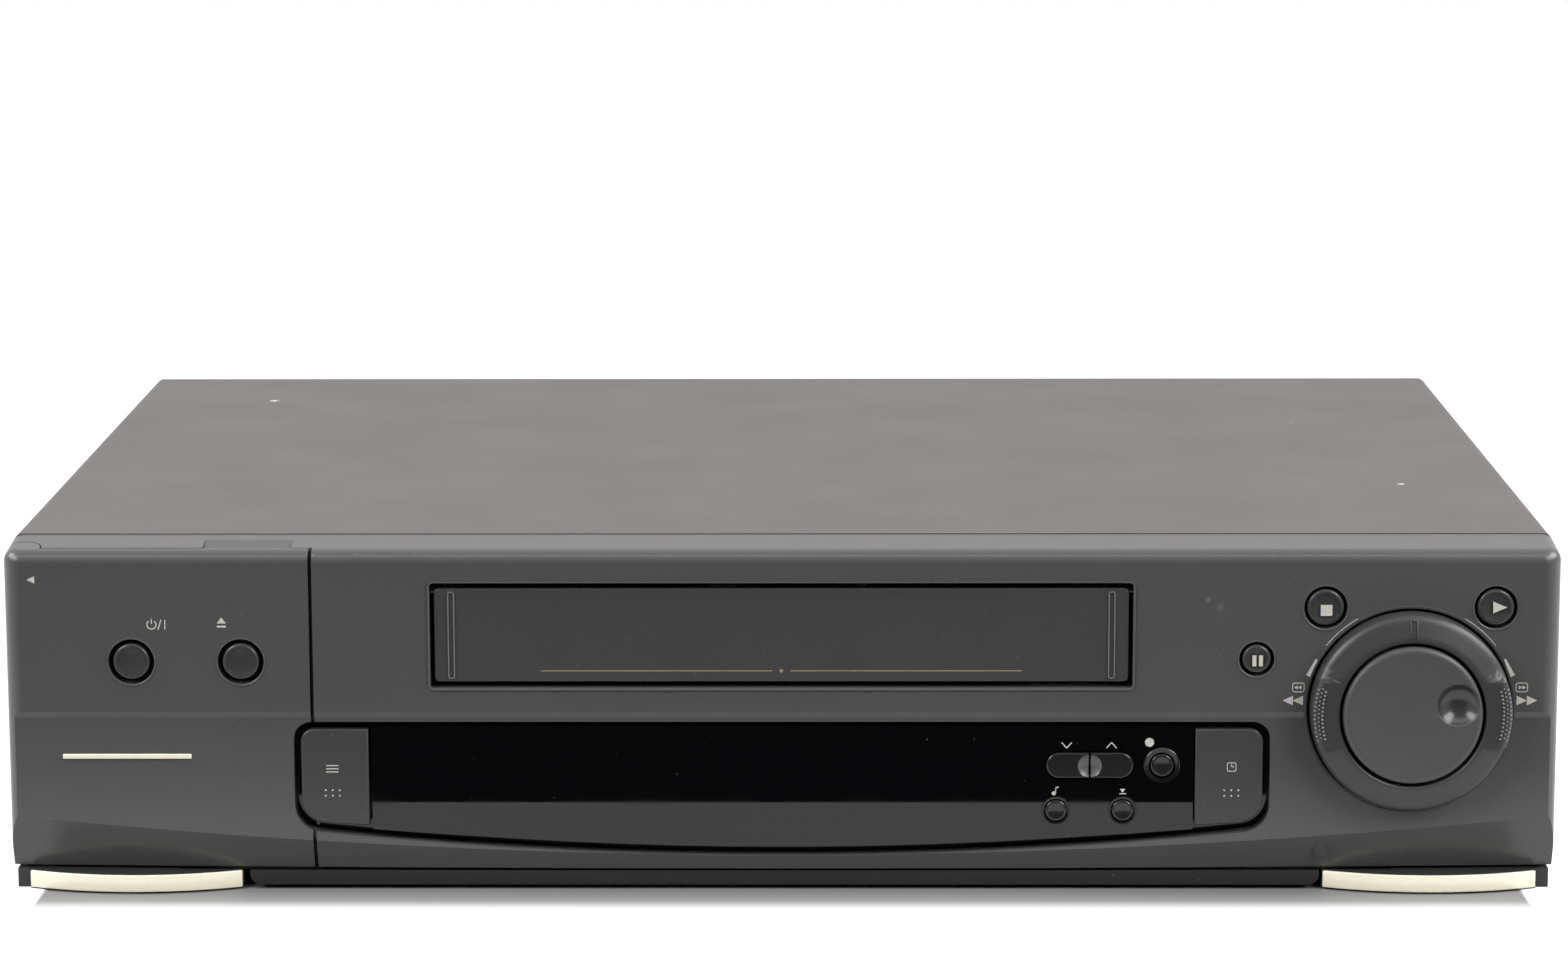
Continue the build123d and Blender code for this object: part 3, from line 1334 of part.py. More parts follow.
drum_upper_base = drum_lower_top + drum_split
drum_upper_top = drum_upper_base + drum_upper_height
with BuildPart() as drum_upper:
    drum_disc(drum_r, drum_upper_base, drum_upper_top)
    fillet(drum_upper.edges().sort_by(Axis.Z)[-1], radius=sheet)
    drum_disc(drum_r - drum_rim, drum_upper_top - drum_recess, drum_upper_top, mode=Mode.SUBTRACT)
    drum_disc(drum_shaft_r, drum_lower_top - drum_lower_height + drum_shaft_lift, drum_upper_top)
    with Locations(drum_plane.offset(drum_upper_base + head_window / 2)):
        with PolarLocations(drum_r, head_windows):
            Box(2 * sheet, 2 * head_window, head_window, mode=Mode.SUBTRACT)
finish(drum_upper, "drum_upper")

# ---------------------------------------------------------------- capstan
with BuildPart() as capstan_bearing:
    rod_z(capstan_x, capstan_depth, bearing_flange_r, deck_top, deck_top + drum_seat)
    rod_z(capstan_x, capstan_depth, bearing_r, deck_top, deck_top + bearing_height)
    rod_z(
        capstan_x, capstan_depth, capstan_r + running_gap, deck_top - past, deck_top + bearing_height + past,
        mode=Mode.SUBTRACT,
    )
finish(capstan_bearing, "capstan_bearing")

rotor_top = deck_bottom - rotor_gap
with BuildPart() as capstan:
    rod_z(capstan_x, capstan_depth, rotor_r, rotor_top - rotor_height, rotor_top)
    fillet(capstan.edges().group_by(Axis.Z)[0], radius=sheet)
    rod_z(capstan_x, capstan_depth, capstan_r, rotor_top - rotor_height, deck_top + capstan_top)
finish(capstan, "capstan")


def bar(x0, depth0, x1, depth1, width, z0, z1):
    """Flat link with round ends between two upright axes."""
    angle = degrees(atan2(depth1 - depth0, x1 - x0))
    place = ((x0 + x1) / 2, front_y + (depth0 + depth1) / 2, (z0 + z1) / 2)
    with Locations(Location(place, (0, 0, angle))):
        Box(hypot(x1 - x0, depth1 - depth0), width, z1 - z0)
    rod_z(x0, depth0, width / 2, z0, z1)
    rod_z(x1, depth1, width / 2, z0, z1)


arm_z = deck_top + slider_lift
arm_top = arm_z + arm_thickness
hub_top = arm_z + 2 * arm_thickness
hub_r = arm_width / 2 + sheet
roller_z = deck_top + roller_lift
post_top = deck_top + pole_height
with BuildPart() as pinch_arm:
    bar(arm_pivot_x, arm_pivot_depth, roller_x, roller_depth, arm_width, arm_z, arm_top)
    rod_z(arm_pivot_x, arm_pivot_depth, hub_r, arm_z, hub_top)
    rod_z(
        arm_pivot_x, arm_pivot_depth, arm_post_r + running_gap, deck_top, hub_top + past,
        mode=Mode.SUBTRACT,
    )
    rod_z(roller_x, roller_depth, arm_post_r, arm_top, post_top)
    rod_z(roller_x, roller_depth, arm_width / 2, arm_top, roller_z - slider_lift)
finish(pinch_arm, "pinch_arm")

with BuildPart() as pinch_roller:
    rod_z(roller_x, roller_depth, roller_r, roller_z, roller_z + roller_height)
    rod_z(
        roller_x, roller_depth, arm_post_r + running_gap, roller_z - past, roller_z + roller_height + past,
        mode=Mode.SUBTRACT,
    )
finish(pinch_roller, "pinch_roller")

with BuildPart() as tension_arm:
    bar(
        tension_pivot_x, tension_pivot_depth, tension_pole_x, tension_pole_depth,
        arm_width, arm_z, arm_top,
    )
    rod_z(tension_pivot_x, tension_pivot_depth, hub_r, arm_z, hub_top)
    rod_z(
        tension_pivot_x, tension_pivot_depth, arm_post_r + running_gap, deck_top, hub_top + past,
        mode=Mode.SUBTRACT,
    )
    rod_z(tension_pole_x, tension_pole_depth, tension_pole_r, arm_top, post_top)
    rod_z(tension_pole_x, tension_pole_depth, 2 * tension_pole_r, roller_z, roller_z + roller_height)
finish(tension_arm, "tension_arm")

# ---------------------------------------------------------------- reels and poles
for name, side in (("supply_reel", -1), ("takeup_reel", 1)):
    reel_x = side * reel_half_spacing
    reel_base = deck_top + slider_lift
    with BuildPart() as reel:
        rod_z(reel_x, reel_depth, reel_r, reel_base, reel_base + reel_table)
        rod_z(reel_x, reel_depth, reel_hub_r, reel_base, reel_base + reel_height)
        fillet(reel.edges().group_by(Axis.Z)[-1], radius=2 * sheet)
        with Locations((reel_x, front_y + reel_depth, reel_base + reel_height / 2)):
            with PolarLocations(reel_hub_r, reel_dogs):
                Box(reel_dog_length, reel_dog_width, reel_height - reel_dog_length)
        rod_z(
            reel_x, reel_depth, spindle_r + running_gap, deck_top, deck_top + reel_height - reel_dog_width,
            mode=Mode.SUBTRACT,
        )
    finish(reel, name)

for name, side in (("supply_pole", -1), ("takeup_pole", 1)):
    x = side * pole_x0
    with BuildPart() as pole:
        block(
            x - pole_base / 2, x + pole_base / 2, pole_depth0 - pole_base / 2,
            pole_depth0 + pole_base / 2, arm_z, arm_z + pole_base_height,
        )
        rod_z(x, pole_depth0, tongue_r, deck_bottom - sheet / 2, post_top)
        rod_z(x, pole_depth0, pole_r, roller_z, roller_z + roller_height)
    finish(pole, name)

# ---------------------------------------------------------------- fixed heads
head_base_top = deck_top + head_base_height
with BuildPart() as control_head:
    block(
        control_head_x - control_base_x, control_head_x + control_base_x,
        control_head_depth - control_base_y, control_head_depth + control_base_y,
        deck_top, head_base_top,
    )
    block(
        control_head_x - control_head_x_half, control_head_x + control_head_x_half,
        control_head_depth - control_head_y_half, control_head_depth + control_head_y_half,
        head_base_top, deck_top + head_height,
    )
finish(control_head, "control_head")

with BuildPart() as erase_head:
    block(
        erase_head_x - erase_base_x, erase_head_x + erase_base_x,
        erase_head_depth - erase_base_y, erase_head_depth + erase_base_y,
        deck_top, head_base_top,
    )
    rod_z(erase_head_x, erase_head_depth, erase_head_r, head_base_top, deck_top + head_height)
finish(erase_head, "erase_head")

# ---------------------------------------------------------------- loading drive
cam_disc_z = deck_top + cam_lift
with BuildPart() as cam_gear:
    rod_z(cam_x, cam_depth, cam_r, cam_disc_z, cam_disc_z + cam_height)
    with Locations((cam_x, front_y + cam_depth, cam_disc_z + cam_height / 2)):
        with PolarLocations(cam_r, cam_teeth):
            Box(2 * cam_tooth_depth, cam_tooth_width, cam_height + past, mode=Mode.SUBTRACT)
    rod_z(cam_x, cam_depth, cam_hub_r, arm_z, cam_disc_z)
    rod_z(
        cam_x, cam_depth, arm_post_r + running_gap, deck_top, cam_disc_z + cam_height + past,
        mode=Mode.SUBTRACT,
    )
finish(cam_gear, "cam_gear")

motor_x = cam_x - cam_r - worm_gap - worm_r
motor_z = deck_top + motor_r + slider_lift
with BuildPart() as loading_motor:
    rod_y(motor_x, motor_z, motor_r, motor_front, motor_back)
    block(
        motor_x - motor_r + motor_foot_inset, motor_x + motor_r - motor_foot_inset,
        motor_front + motor_foot_set_back, motor_back - motor_foot_set_back,
        deck_top, motor_z,
    )
    rod_y(motor_x, motor_z, motor_shaft_r, cam_depth - worm_gap - cam_r / 2, motor_front)
    rod_y(motor_x, motor_z, worm_r, cam_depth - cam_r / 2, cam_depth + cam_r / 2)
finish(loading_motor, "loading_motor")

# ---------------------------------------------------------------- main board
with BuildPart() as main_board:
    block(
        main_board_left, main_board_right, main_board_front, main_board_back,
        main_board_z, main_board_top,
    )
    for x, depth in deck_pillars:
        rod_z(
            x, depth, pillar_r + pillar_clearance, main_board_z - past, main_board_top + past,
            mode=Mode.SUBTRACT,
        )
finish(main_board, "main_board")

with BuildPart() as board_parts:
    for column in range(chip_columns):
        for row in range(chip_rows):
            x = chip_x + chip_pitch_x * column
            depth = chip_depth + chip_pitch_y * row
            block(
                x - chip_half_x, x + chip_half_x, depth - chip_half_y, depth + chip_half_y,
                main_board_top, main_board_top + chip_height,
            )
    for index in range(can_count):
        for x in can_columns:
            depth = can_depth + can_pitch * index
            rod_z(x, depth, can_r, main_board_top, main_board_top + can_height)
    for depth in module_depths:
        block(
            module_left, module_right, depth, depth + module_length,
            main_board_top, main_board_top + module_height,
        )
finish(board_parts, "board_parts")

# ---------------------------------------------------------------- power supply
with BuildPart() as power_board:
    block(
        power_board_left, power_board_right, power_board_front, main_board_back,
        main_board_z, main_board_top,
    )
finish(power_board, "power_board")

with BuildPart() as power_parts:
    core_x = power_board_left + core_from_board_left
    core_depth = power_board_front + core_from_board_front
    core_top = main_board_top + core_height
    block(
        core_x - core_half_x, core_x + core_half_x, core_depth - core_half_y,
        core_depth + core_half_y, main_board_top, core_top,
    )
    block(
        core_x - coil_half_x, core_x + coil_half_x, core_depth - coil_half_y,
        core_depth + coil_half_y, main_board_top + coil_inset, core_top - coil_inset,
    )
    for index in range(big_can_count):
        depth = power_board_front + big_can_from_board_front + big_can_pitch * index
        rod_z(power_board_right - big_can_from_board_right, depth, big_can_r, main_board_top, core_top)
    sink_x = power_board_left + sink_from_board_left
    sink_depth = power_board_front + sink_from_board_front
    sink_back = sink_depth + sink_thickness
    sink_top = core_top + sink_rise
    block(sink_x - sink_half, sink_x + sink_half, sink_depth, sink_back, main_board_top, sink_top)
    for index in range(fin_count):
        x = sink_x - fin_half_span + fin_pitch * index
        block(x - fin_half, x + fin_half, sink_back, sink_back + fin_length, main_board_top, sink_top)
finish(power_parts, "power_parts")

# ---------------------------------------------------------------- tuner and sockets
socket_tip = body_depth + jack_reach
with BuildPart() as tuner_can:
    block(
        tuner_x - tuner_width / 2, tuner_x + tuner_width / 2, rear_depth0 - tuner_depth, rear_depth0,
        main_board_top, socket_z + tuner_height / 2,
    )
finish(tuner_can, "tuner_can")

with BuildPart() as rf_sockets:
    for side in (-1, 1):
        x = tuner_x + side * rf_pitch / 2
        rod_y(x, socket_z, rf_r + socket_collar, rear_depth0, body_depth)
        rod_y(x, socket_z, rf_r, body_depth, socket_tip)
        rod_y(x, socket_z, rf_bore_r, body_depth, socket_tip + past, mode=Mode.SUBTRACT)
        rod_y(x, socket_z, rf_pin_r, body_depth - past, socket_tip - 2 * past)
finish(rf_sockets, "rf_sockets")

with BuildPart() as scart_sockets:
    for x in scart_x:
        block(
            x - scart_width / 2, x + scart_width / 2, rear_depth0 - scart_depth, rear_depth0,
            main_board_top, socket_z + scart_height / 2,
        )
        block(
            x - scart_mouth_width / 2, x + scart_mouth_width / 2,
            rear_depth0 - scart_mouth_depth, rear_depth0,
            socket_z - scart_mouth_height / 2, socket_z + scart_mouth_height / 2, mode=Mode.SUBTRACT,
        )
finish(scart_sockets, "scart_sockets")

with BuildPart() as rear_jacks:
    block(
        rear_jack_x[0] - jack_nut_r - socket_collar, rear_jack_x[-1] + jack_nut_r + socket_collar,
        rear_depth0 - jack_block_depth, rear_depth0, main_board_top,
        socket_z + jack_nut_r + socket_collar,
    )
    for x in rear_jack_x:
        phono_jack(x, socket_z, rear_depth0, socket_tip - rear_depth0)
finish(rear_jacks, "rear_jacks")

inlet_depth0 = rear_depth0 - inlet_mouth_depth - inlet_floor
with BuildPart() as mains_inlet:
    block(
        inlet_x - inlet_width / 2, inlet_x + inlet_width / 2, inlet_depth0,
        body_depth, socket_z - inlet_height / 2, socket_z + inlet_height / 2,
    )
    block(
        inlet_x - inlet_width / 2, inlet_x + inlet_width / 2, inlet_depth0,
        rear_depth0 - 2 * sheet, main_board_top, socket_z,
    )
    mouth_floor = body_depth - inlet_mouth_depth
    block(
        inlet_x - inlet_mouth_width / 2, inlet_x + inlet_mouth_width / 2, mouth_floor, body_depth,
        socket_z - inlet_mouth_height / 2, socket_z + inlet_mouth_height / 2, mode=Mode.SUBTRACT,
    )
    for side in (-1, 1):
        rod_y(
            inlet_x + side * inlet_pin_spacing / 2, socket_z, inlet_pin_r,
            mouth_floor - past, mouth_floor + inlet_pin_length,
        )
finish(mains_inlet, "mains_inlet")
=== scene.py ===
"""Looks of a front-loading video cassette recorder, built round its CAD frame.

Lengths are written in millimetres: box, size and pick read them, and mm gives them in metres.
"""

from math import atan2, cos, degrees, hypot, pi, radians, sin

import bmesh
import bpy
from bpy.props import FloatProperty, FloatVectorProperty, PointerProperty
from mathutils import Matrix, Vector


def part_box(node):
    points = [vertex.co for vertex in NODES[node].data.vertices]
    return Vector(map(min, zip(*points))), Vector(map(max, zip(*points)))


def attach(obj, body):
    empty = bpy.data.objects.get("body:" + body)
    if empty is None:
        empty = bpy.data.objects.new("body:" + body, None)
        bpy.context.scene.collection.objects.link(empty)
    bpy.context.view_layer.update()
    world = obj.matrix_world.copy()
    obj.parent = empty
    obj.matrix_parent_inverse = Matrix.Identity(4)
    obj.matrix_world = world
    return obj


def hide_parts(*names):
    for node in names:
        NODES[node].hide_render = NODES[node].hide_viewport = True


bl_info = {
    "name": "Video Cassette Recorder",
    "version": (1, 0, 0),
    "blender": (4, 5, 0),
    "location": "3D View > Sidebar > Recorder",
    "description": "Finishes and fine pieces of a front-loading cassette recorder",
    "category": "Object",
}

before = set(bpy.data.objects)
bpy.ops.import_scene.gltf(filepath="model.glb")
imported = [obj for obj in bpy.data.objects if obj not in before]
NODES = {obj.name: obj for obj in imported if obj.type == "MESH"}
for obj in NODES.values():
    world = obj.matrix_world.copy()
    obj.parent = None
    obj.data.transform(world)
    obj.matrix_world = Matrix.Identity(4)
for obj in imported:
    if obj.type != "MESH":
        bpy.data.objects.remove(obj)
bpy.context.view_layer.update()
MM = 0.001


def mm(*lengths):
    """Metres from millimetres."""
    return tuple(length * MM for length in lengths)


def box(node):
    """Lowest and highest corner of a CAD node."""
    low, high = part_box(node)
    return low / MM, high / MM


def middle_of(node):
    """Middle of a CAD node as seen from the front, and half its width."""
    low, high = box(node)
    return (low.x + high.x) / 2, (low.z + high.z) / 2, (high.x - low.x) / 2


def depths_of(node):
    """Where a CAD node begins, and how deep it is."""
    low, high = box(node)
    return low.y, high.y - low.y


FRONT = box("front_bezel")[0].y
WINDOW_DEPTH = 1.4
FLAP_DEPTH = 1.0
SIDE_KEY_DEPTH = 1.0
SLOT_Z = 73.025
BEAD_X = 91.2
SIDE_KEY_X = 124.8
DIAL_X, DIAL_Z = 173.6, 52.2
SKIN = 0.01
NEAR = 0.1


# ---- settings
def length(name, description, default):
    """Length setting."""
    return FloatProperty(name=name, description=description, default=default * MM, unit="LENGTH")


def tint(name, description, default):
    """Colour setting."""
    return FloatVectorProperty(
        name=name, description=description, default=default, subtype="COLOR", min=0, max=1)


class RecorderSizes(bpy.types.PropertyGroup):
    """Sizes of the fine pieces."""

    key_edge: length("Key edge", "Rounding of the round key caps", 0.8)
    key_dish: length("Key dish", "Depth of the hollow in the round key caps", 0.85)
    flap_edge: length("Flap edge", "Rounding of the cassette flap's edges", 0.45)
    side_key_edge: length("Side key edge", "Rounding of the tall keys' front edges", 0.45)
    scoop_radius: length("Scoop radius", "Radius of the thumb scoop in the channel keys", 3.4)
    scoop_depth: length("Scoop depth", "Depth of the thumb scoop in the channel keys", 1.1)
    ring_slope: length("Ring slope", "How far the ring's face falls back to its outer edge", 1.5)
    knurl_height: length("Knurl height", "Height of the teeth in the ring's grips", 0.5)
    dimple_radius: length("Dimple radius", "Radius of the jog dial's finger hollow", 5.9)
    dimple_depth: length("Dimple depth", "Depth of the jog dial's finger hollow", 2.9)
    print_height: length("Print height", "How far printed marks stand proud", 0.04)
    lip_width: length("Lip width", "Width of the soft lips round the holes in the front", 0.5)
    lip_height: length("Lip height", "How far the lips stand proud of the front", 0.18)


class RecorderColours(bpy.types.PropertyGroup):
    """Colours of the finishes."""

    bezel: tint("Front", "Charcoal plastic of the front", (0.0795, 0.0797, 0.0799))
    cover: tint("Cover", "Enamel of the sheet-steel cover", (0.064, 0.0565, 0.0548))
    keys: tint("Keys", "Plastic of the round keys", (0.044, 0.0445, 0.045))
    window: tint("Window", "Smoked display window", (0.0008, 0.0006, 0.0013))
    # Partly painted reflection: this near-white cream stands in for the lamps' reflection in the
    # trims.
    gold: tint("Champagne", "Anodised foot trims", (1.0, 0.95, 0.76))
    marks: tint("Marks", "Cream print on the front", (0.60, 0.58, 0.51))
    gold_print: tint("Gold print", "Gold print on the flap", (0.36, 0.27, 0.15))


def size(name):
    """One of the recorder's sizes."""
    return getattr(bpy.context.scene.recorder_sizes, name) / MM


# ---- finishes
class Wiring:
    """Short ways to add nodes to one tree."""

    def __init__(self, tree):
        self.tree = tree

    def add(self, kind):
        return self.tree.nodes.new(f"ShaderNode{kind}")

    def link(self, source, target):
        self.tree.links.new(source, target)

    def split(self, place):
        """The parts of a place along X, Y and Z."""
        made = self.add("SeparateXYZ")
        self.link(place, made.inputs[0])
        return made.outputs

    def remap(self, value, low, high, to_low=0.0, to_high=1.0):
        """Stretches a value from one range to another and clamps it."""
        made = self.add("MapRange")
        for slot, number in zip(("From Min", "From Max", "To Min", "To Max"),
                                (low, high, to_low, to_high)):
            made.inputs[slot].default_value = number
        self.link(value, made.inputs["Value"])
        return made.outputs["Result"]

    def sums(self, kind, first, second=0):
        """One arithmetic step on two values or numbers."""
        made = self.add("Math")
        made.operation = kind
        for socket, value in zip(made.inputs, (first, second)):
            if isinstance(value, (int, float)):
                socket.default_value = value
            else:
                self.link(value, socket)
        return made.outputs[0]

    def blend(self, factor, first, second):
        """Mixes two colours by a factor."""
        made = self.add("Mix")
        made.data_type = "RGBA"
        self.link(factor, made.inputs[0])
        for socket, value in ((made.inputs[6], first), (made.inputs[7], second)):
            if hasattr(value, "links"):
                self.link(value, socket)
            else:
                socket.default_value = (*value[:3], 1)
        return made.outputs[2]


class Finish(Wiring):
    """A new material, with its shader and object coordinates."""

    def __init__(self, name):
        self.made = bpy.data.materials.new(name)
        self.made.use_nodes = True
        super().__init__(self.made.node_tree)
        self.tree.nodes.clear()
        self.shader = self.add("BsdfPrincipled")
        output = self.add("OutputMaterial")
        self.place = self.add("TexCoord").outputs["Object"]
        self.link(self.shader.outputs["BSDF"], output.inputs["Surface"])

    def noise(self, lump, detail=3.0, stretch=None):
        """Cloudy pattern whose lumps are about the given size."""
        place = self.place
        if stretch:
            mapping = self.add("Mapping")
            mapping.inputs["Scale"].default_value = stretch
            self.link(place, mapping.inputs["Vector"])
            place = mapping.outputs["Vector"]
        made = self.add("TexNoise")
        made.inputs["Scale"].default_value = 1 / (lump * MM)
        made.inputs["Detail"].default_value = detail
        made.inputs["Roughness"].default_value = 0.55
        self.link(place, made.inputs["Vector"])
        return made.outputs["Fac"]

    def flecks(self, base, pattern, low, high, share, paint):
        """Lays a share of a paint over the base where a pattern is high."""
        amount = self.sums("MULTIPLY", self.remap(pattern, low, high), share)
        return self.blend(amount, base, paint)

    def spots(self, base, marks):
        """Lays ragged spots over the base, from their centre, radius, softness and paint."""
        for centre, radius, soft, paint in marks:
            away = self.add("VectorMath")
            away.operation = "DISTANCE"
            away.inputs[1].default_value = mm(*centre)
            self.link(self.place, away.inputs[0])
            reach = radius * 1.5 * MM
            ragged = self.sums("MULTIPLY", self.noise(radius * 0.45, 2), reach)
            far = self.sums("ADD", away.outputs["Value"], ragged)
            inside = self.remap(far, radius * (1.5 - soft) * MM, reach, 1.0, 0.0)
            base = self.blend(inside, base, paint)
        return base

    def surface(self, base, roughness):
        """Feeds the shader's colour and roughness."""
        self.link(base, self.shader.inputs["Base Color"])
        self.link(roughness, self.shader.inputs["Roughness"])

    def bumps(self, height, depth):
        """Fine bumps from a pattern."""
        bump = self.add("Bump")
        bump.inputs["Distance"].default_value = depth * MM
        self.link(height, bump.inputs["Height"])
        self.link(bump.outputs["Normal"], self.shader.inputs["Normal"])


def shade(colour, amount):
    """A colour made lighter or darker."""
    return tuple(min(1.0, c * amount) for c in colour[:3])


def moulded(name, colour, roughness=0.4, vary=0.03, grain=0.6, depth=0.005, specks=0.2,
            marks=()):
    """Moulded plastic: cloudy colour, dust specks, uneven sheen and a fine spark grain."""
    new = Finish(name)
    clouds = new.remap(new.noise(28), 0.2, 0.8)
    base = new.blend(clouds, shade(colour, 1 - vary), shade(colour, 1 + vary))
    base = new.flecks(base, new.noise(0.8), 0.35, 0.65, 0.15, shade(colour, 1.2))
    base = new.flecks(base, new.noise(0.9, 1), 0.76, 0.80, specks, (0.42, 0.41, 0.39))
    base = new.spots(base, marks)
    sheen = new.remap(new.noise(9), 0.2, 0.8, roughness - 0.03, roughness + 0.03)
    new.surface(base, sheen)
    new.bumps(new.noise(grain, 2), depth)
    return new.made


def metal(name, colour, roughness=0.3, brush=None, vary=0.1, line=0.4, depth=0.004, bare=1.0,
          painted=None):
    """Metal with rolled or brushed lines and tarnish.

    A brush stretches the lines and bare is the metallic share. What lies in front of the depth
    given as painted is black, as painted shade.
    """
    new = Finish(name)
    lines = new.noise(line, 3, brush)
    tarnish = new.remap(new.noise(14, 4), 0.3, 0.7)
    base = new.blend(tarnish, shade(colour, 1 - vary), shade(colour, 1 + vary * 0.5))
    base = new.flecks(base, lines, 0.4, 0.7, 0.3, shade(colour, 0.8))
    # Painted shade: in front of the depth given as painted, the metal turns black.
    if painted is not None:
        depth_along = new.split(new.place)["Y"]
        black = new.remap(depth_along, *mm(painted - 0.2, painted), 1.0, 0.0)
        base = new.blend(black, base, (0.012, 0.012, 0.012))
    new.surface(base, new.remap(lines, 0.3, 0.7, roughness - 0.06, roughness + 0.08))
    new.shader.inputs["Metallic"].default_value = bare
    new.bumps(lines, depth)
    return new.made


def enamel(name, colour, marks):
    """Baked enamel on sheet steel: fine orange peel, rubbed patches, scratches and chips."""
    new = Finish(name)
    clouds = new.remap(new.noise(60, 5), 0.3, 0.7)
    base = new.blend(clouds, shade(colour, 0.985), shade(colour, 1.015))
    base = new.flecks(base, new.noise(0.45, 2), 0.35, 0.7, 0.4, shade(colour, 1.5))
    streaks = new.noise(7, 3, (0.35, 4, 1))
    base = new.flecks(base, streaks, 0.66, 0.72, 0.10, shade(colour, 2.2))
    base = new.flecks(base, new.noise(1.3, 1), 0.775, 0.80, 0.3, (0.45, 0.44, 0.42))
    base = new.spots(base, marks)
    new.surface(base, new.remap(new.noise(35, 5), 0.3, 0.7, 0.39, 0.43))
    new.bumps(new.noise(0.6, 2), 0.012)
    return new.made


def smoked(name, colour):
    """Gloss acrylic, nearly black, with dust and faint smears."""
    new = Finish(name)
    base = new.flecks(colour, new.noise(1.1, 1), 0.77, 0.80, 0.25, (0.30, 0.30, 0.30))
    new.surface(base, new.remap(new.noise(12, 5), 0.35, 0.7, 0.02, 0.05))
    new.shader.inputs["IOR"].default_value = 1.49
    return new.made


def ink(name, colour):
    """Screen print: matt, a little uneven and worn."""
    new = Finish(name)
    worn = new.remap(new.noise(0.5), 0.3, 0.6)
    base = new.blend(worn, shade(colour, 0.78), shade(colour, 1.08))
    new.surface(base, new.remap(worn, 0, 1, 0.55, 0.7))
    new.bumps(new.noise(0.2, 2), 0.004)
    return new.made


def phenolic(name):
    """Phenolic circuit board: amber, with fibres and pale solder marks."""
    new = Finish(name)
    fibre = new.noise(2.2, 4, (1, 5, 1))
    base = new.blend(new.remap(fibre, 0.3, 0.7), (0.16, 0.09, 0.03), (0.26, 0.16, 0.06))
    base = new.flecks(base, new.noise(2.6, 0), 0.72, 0.76, 0.7, (0.5, 0.5, 0.48))
    new.surface(base, new.remap(fibre, 0.3, 0.7, 0.35, 0.55))
    new.bumps(new.noise(0.5, 2), 0.01)
    return new.made


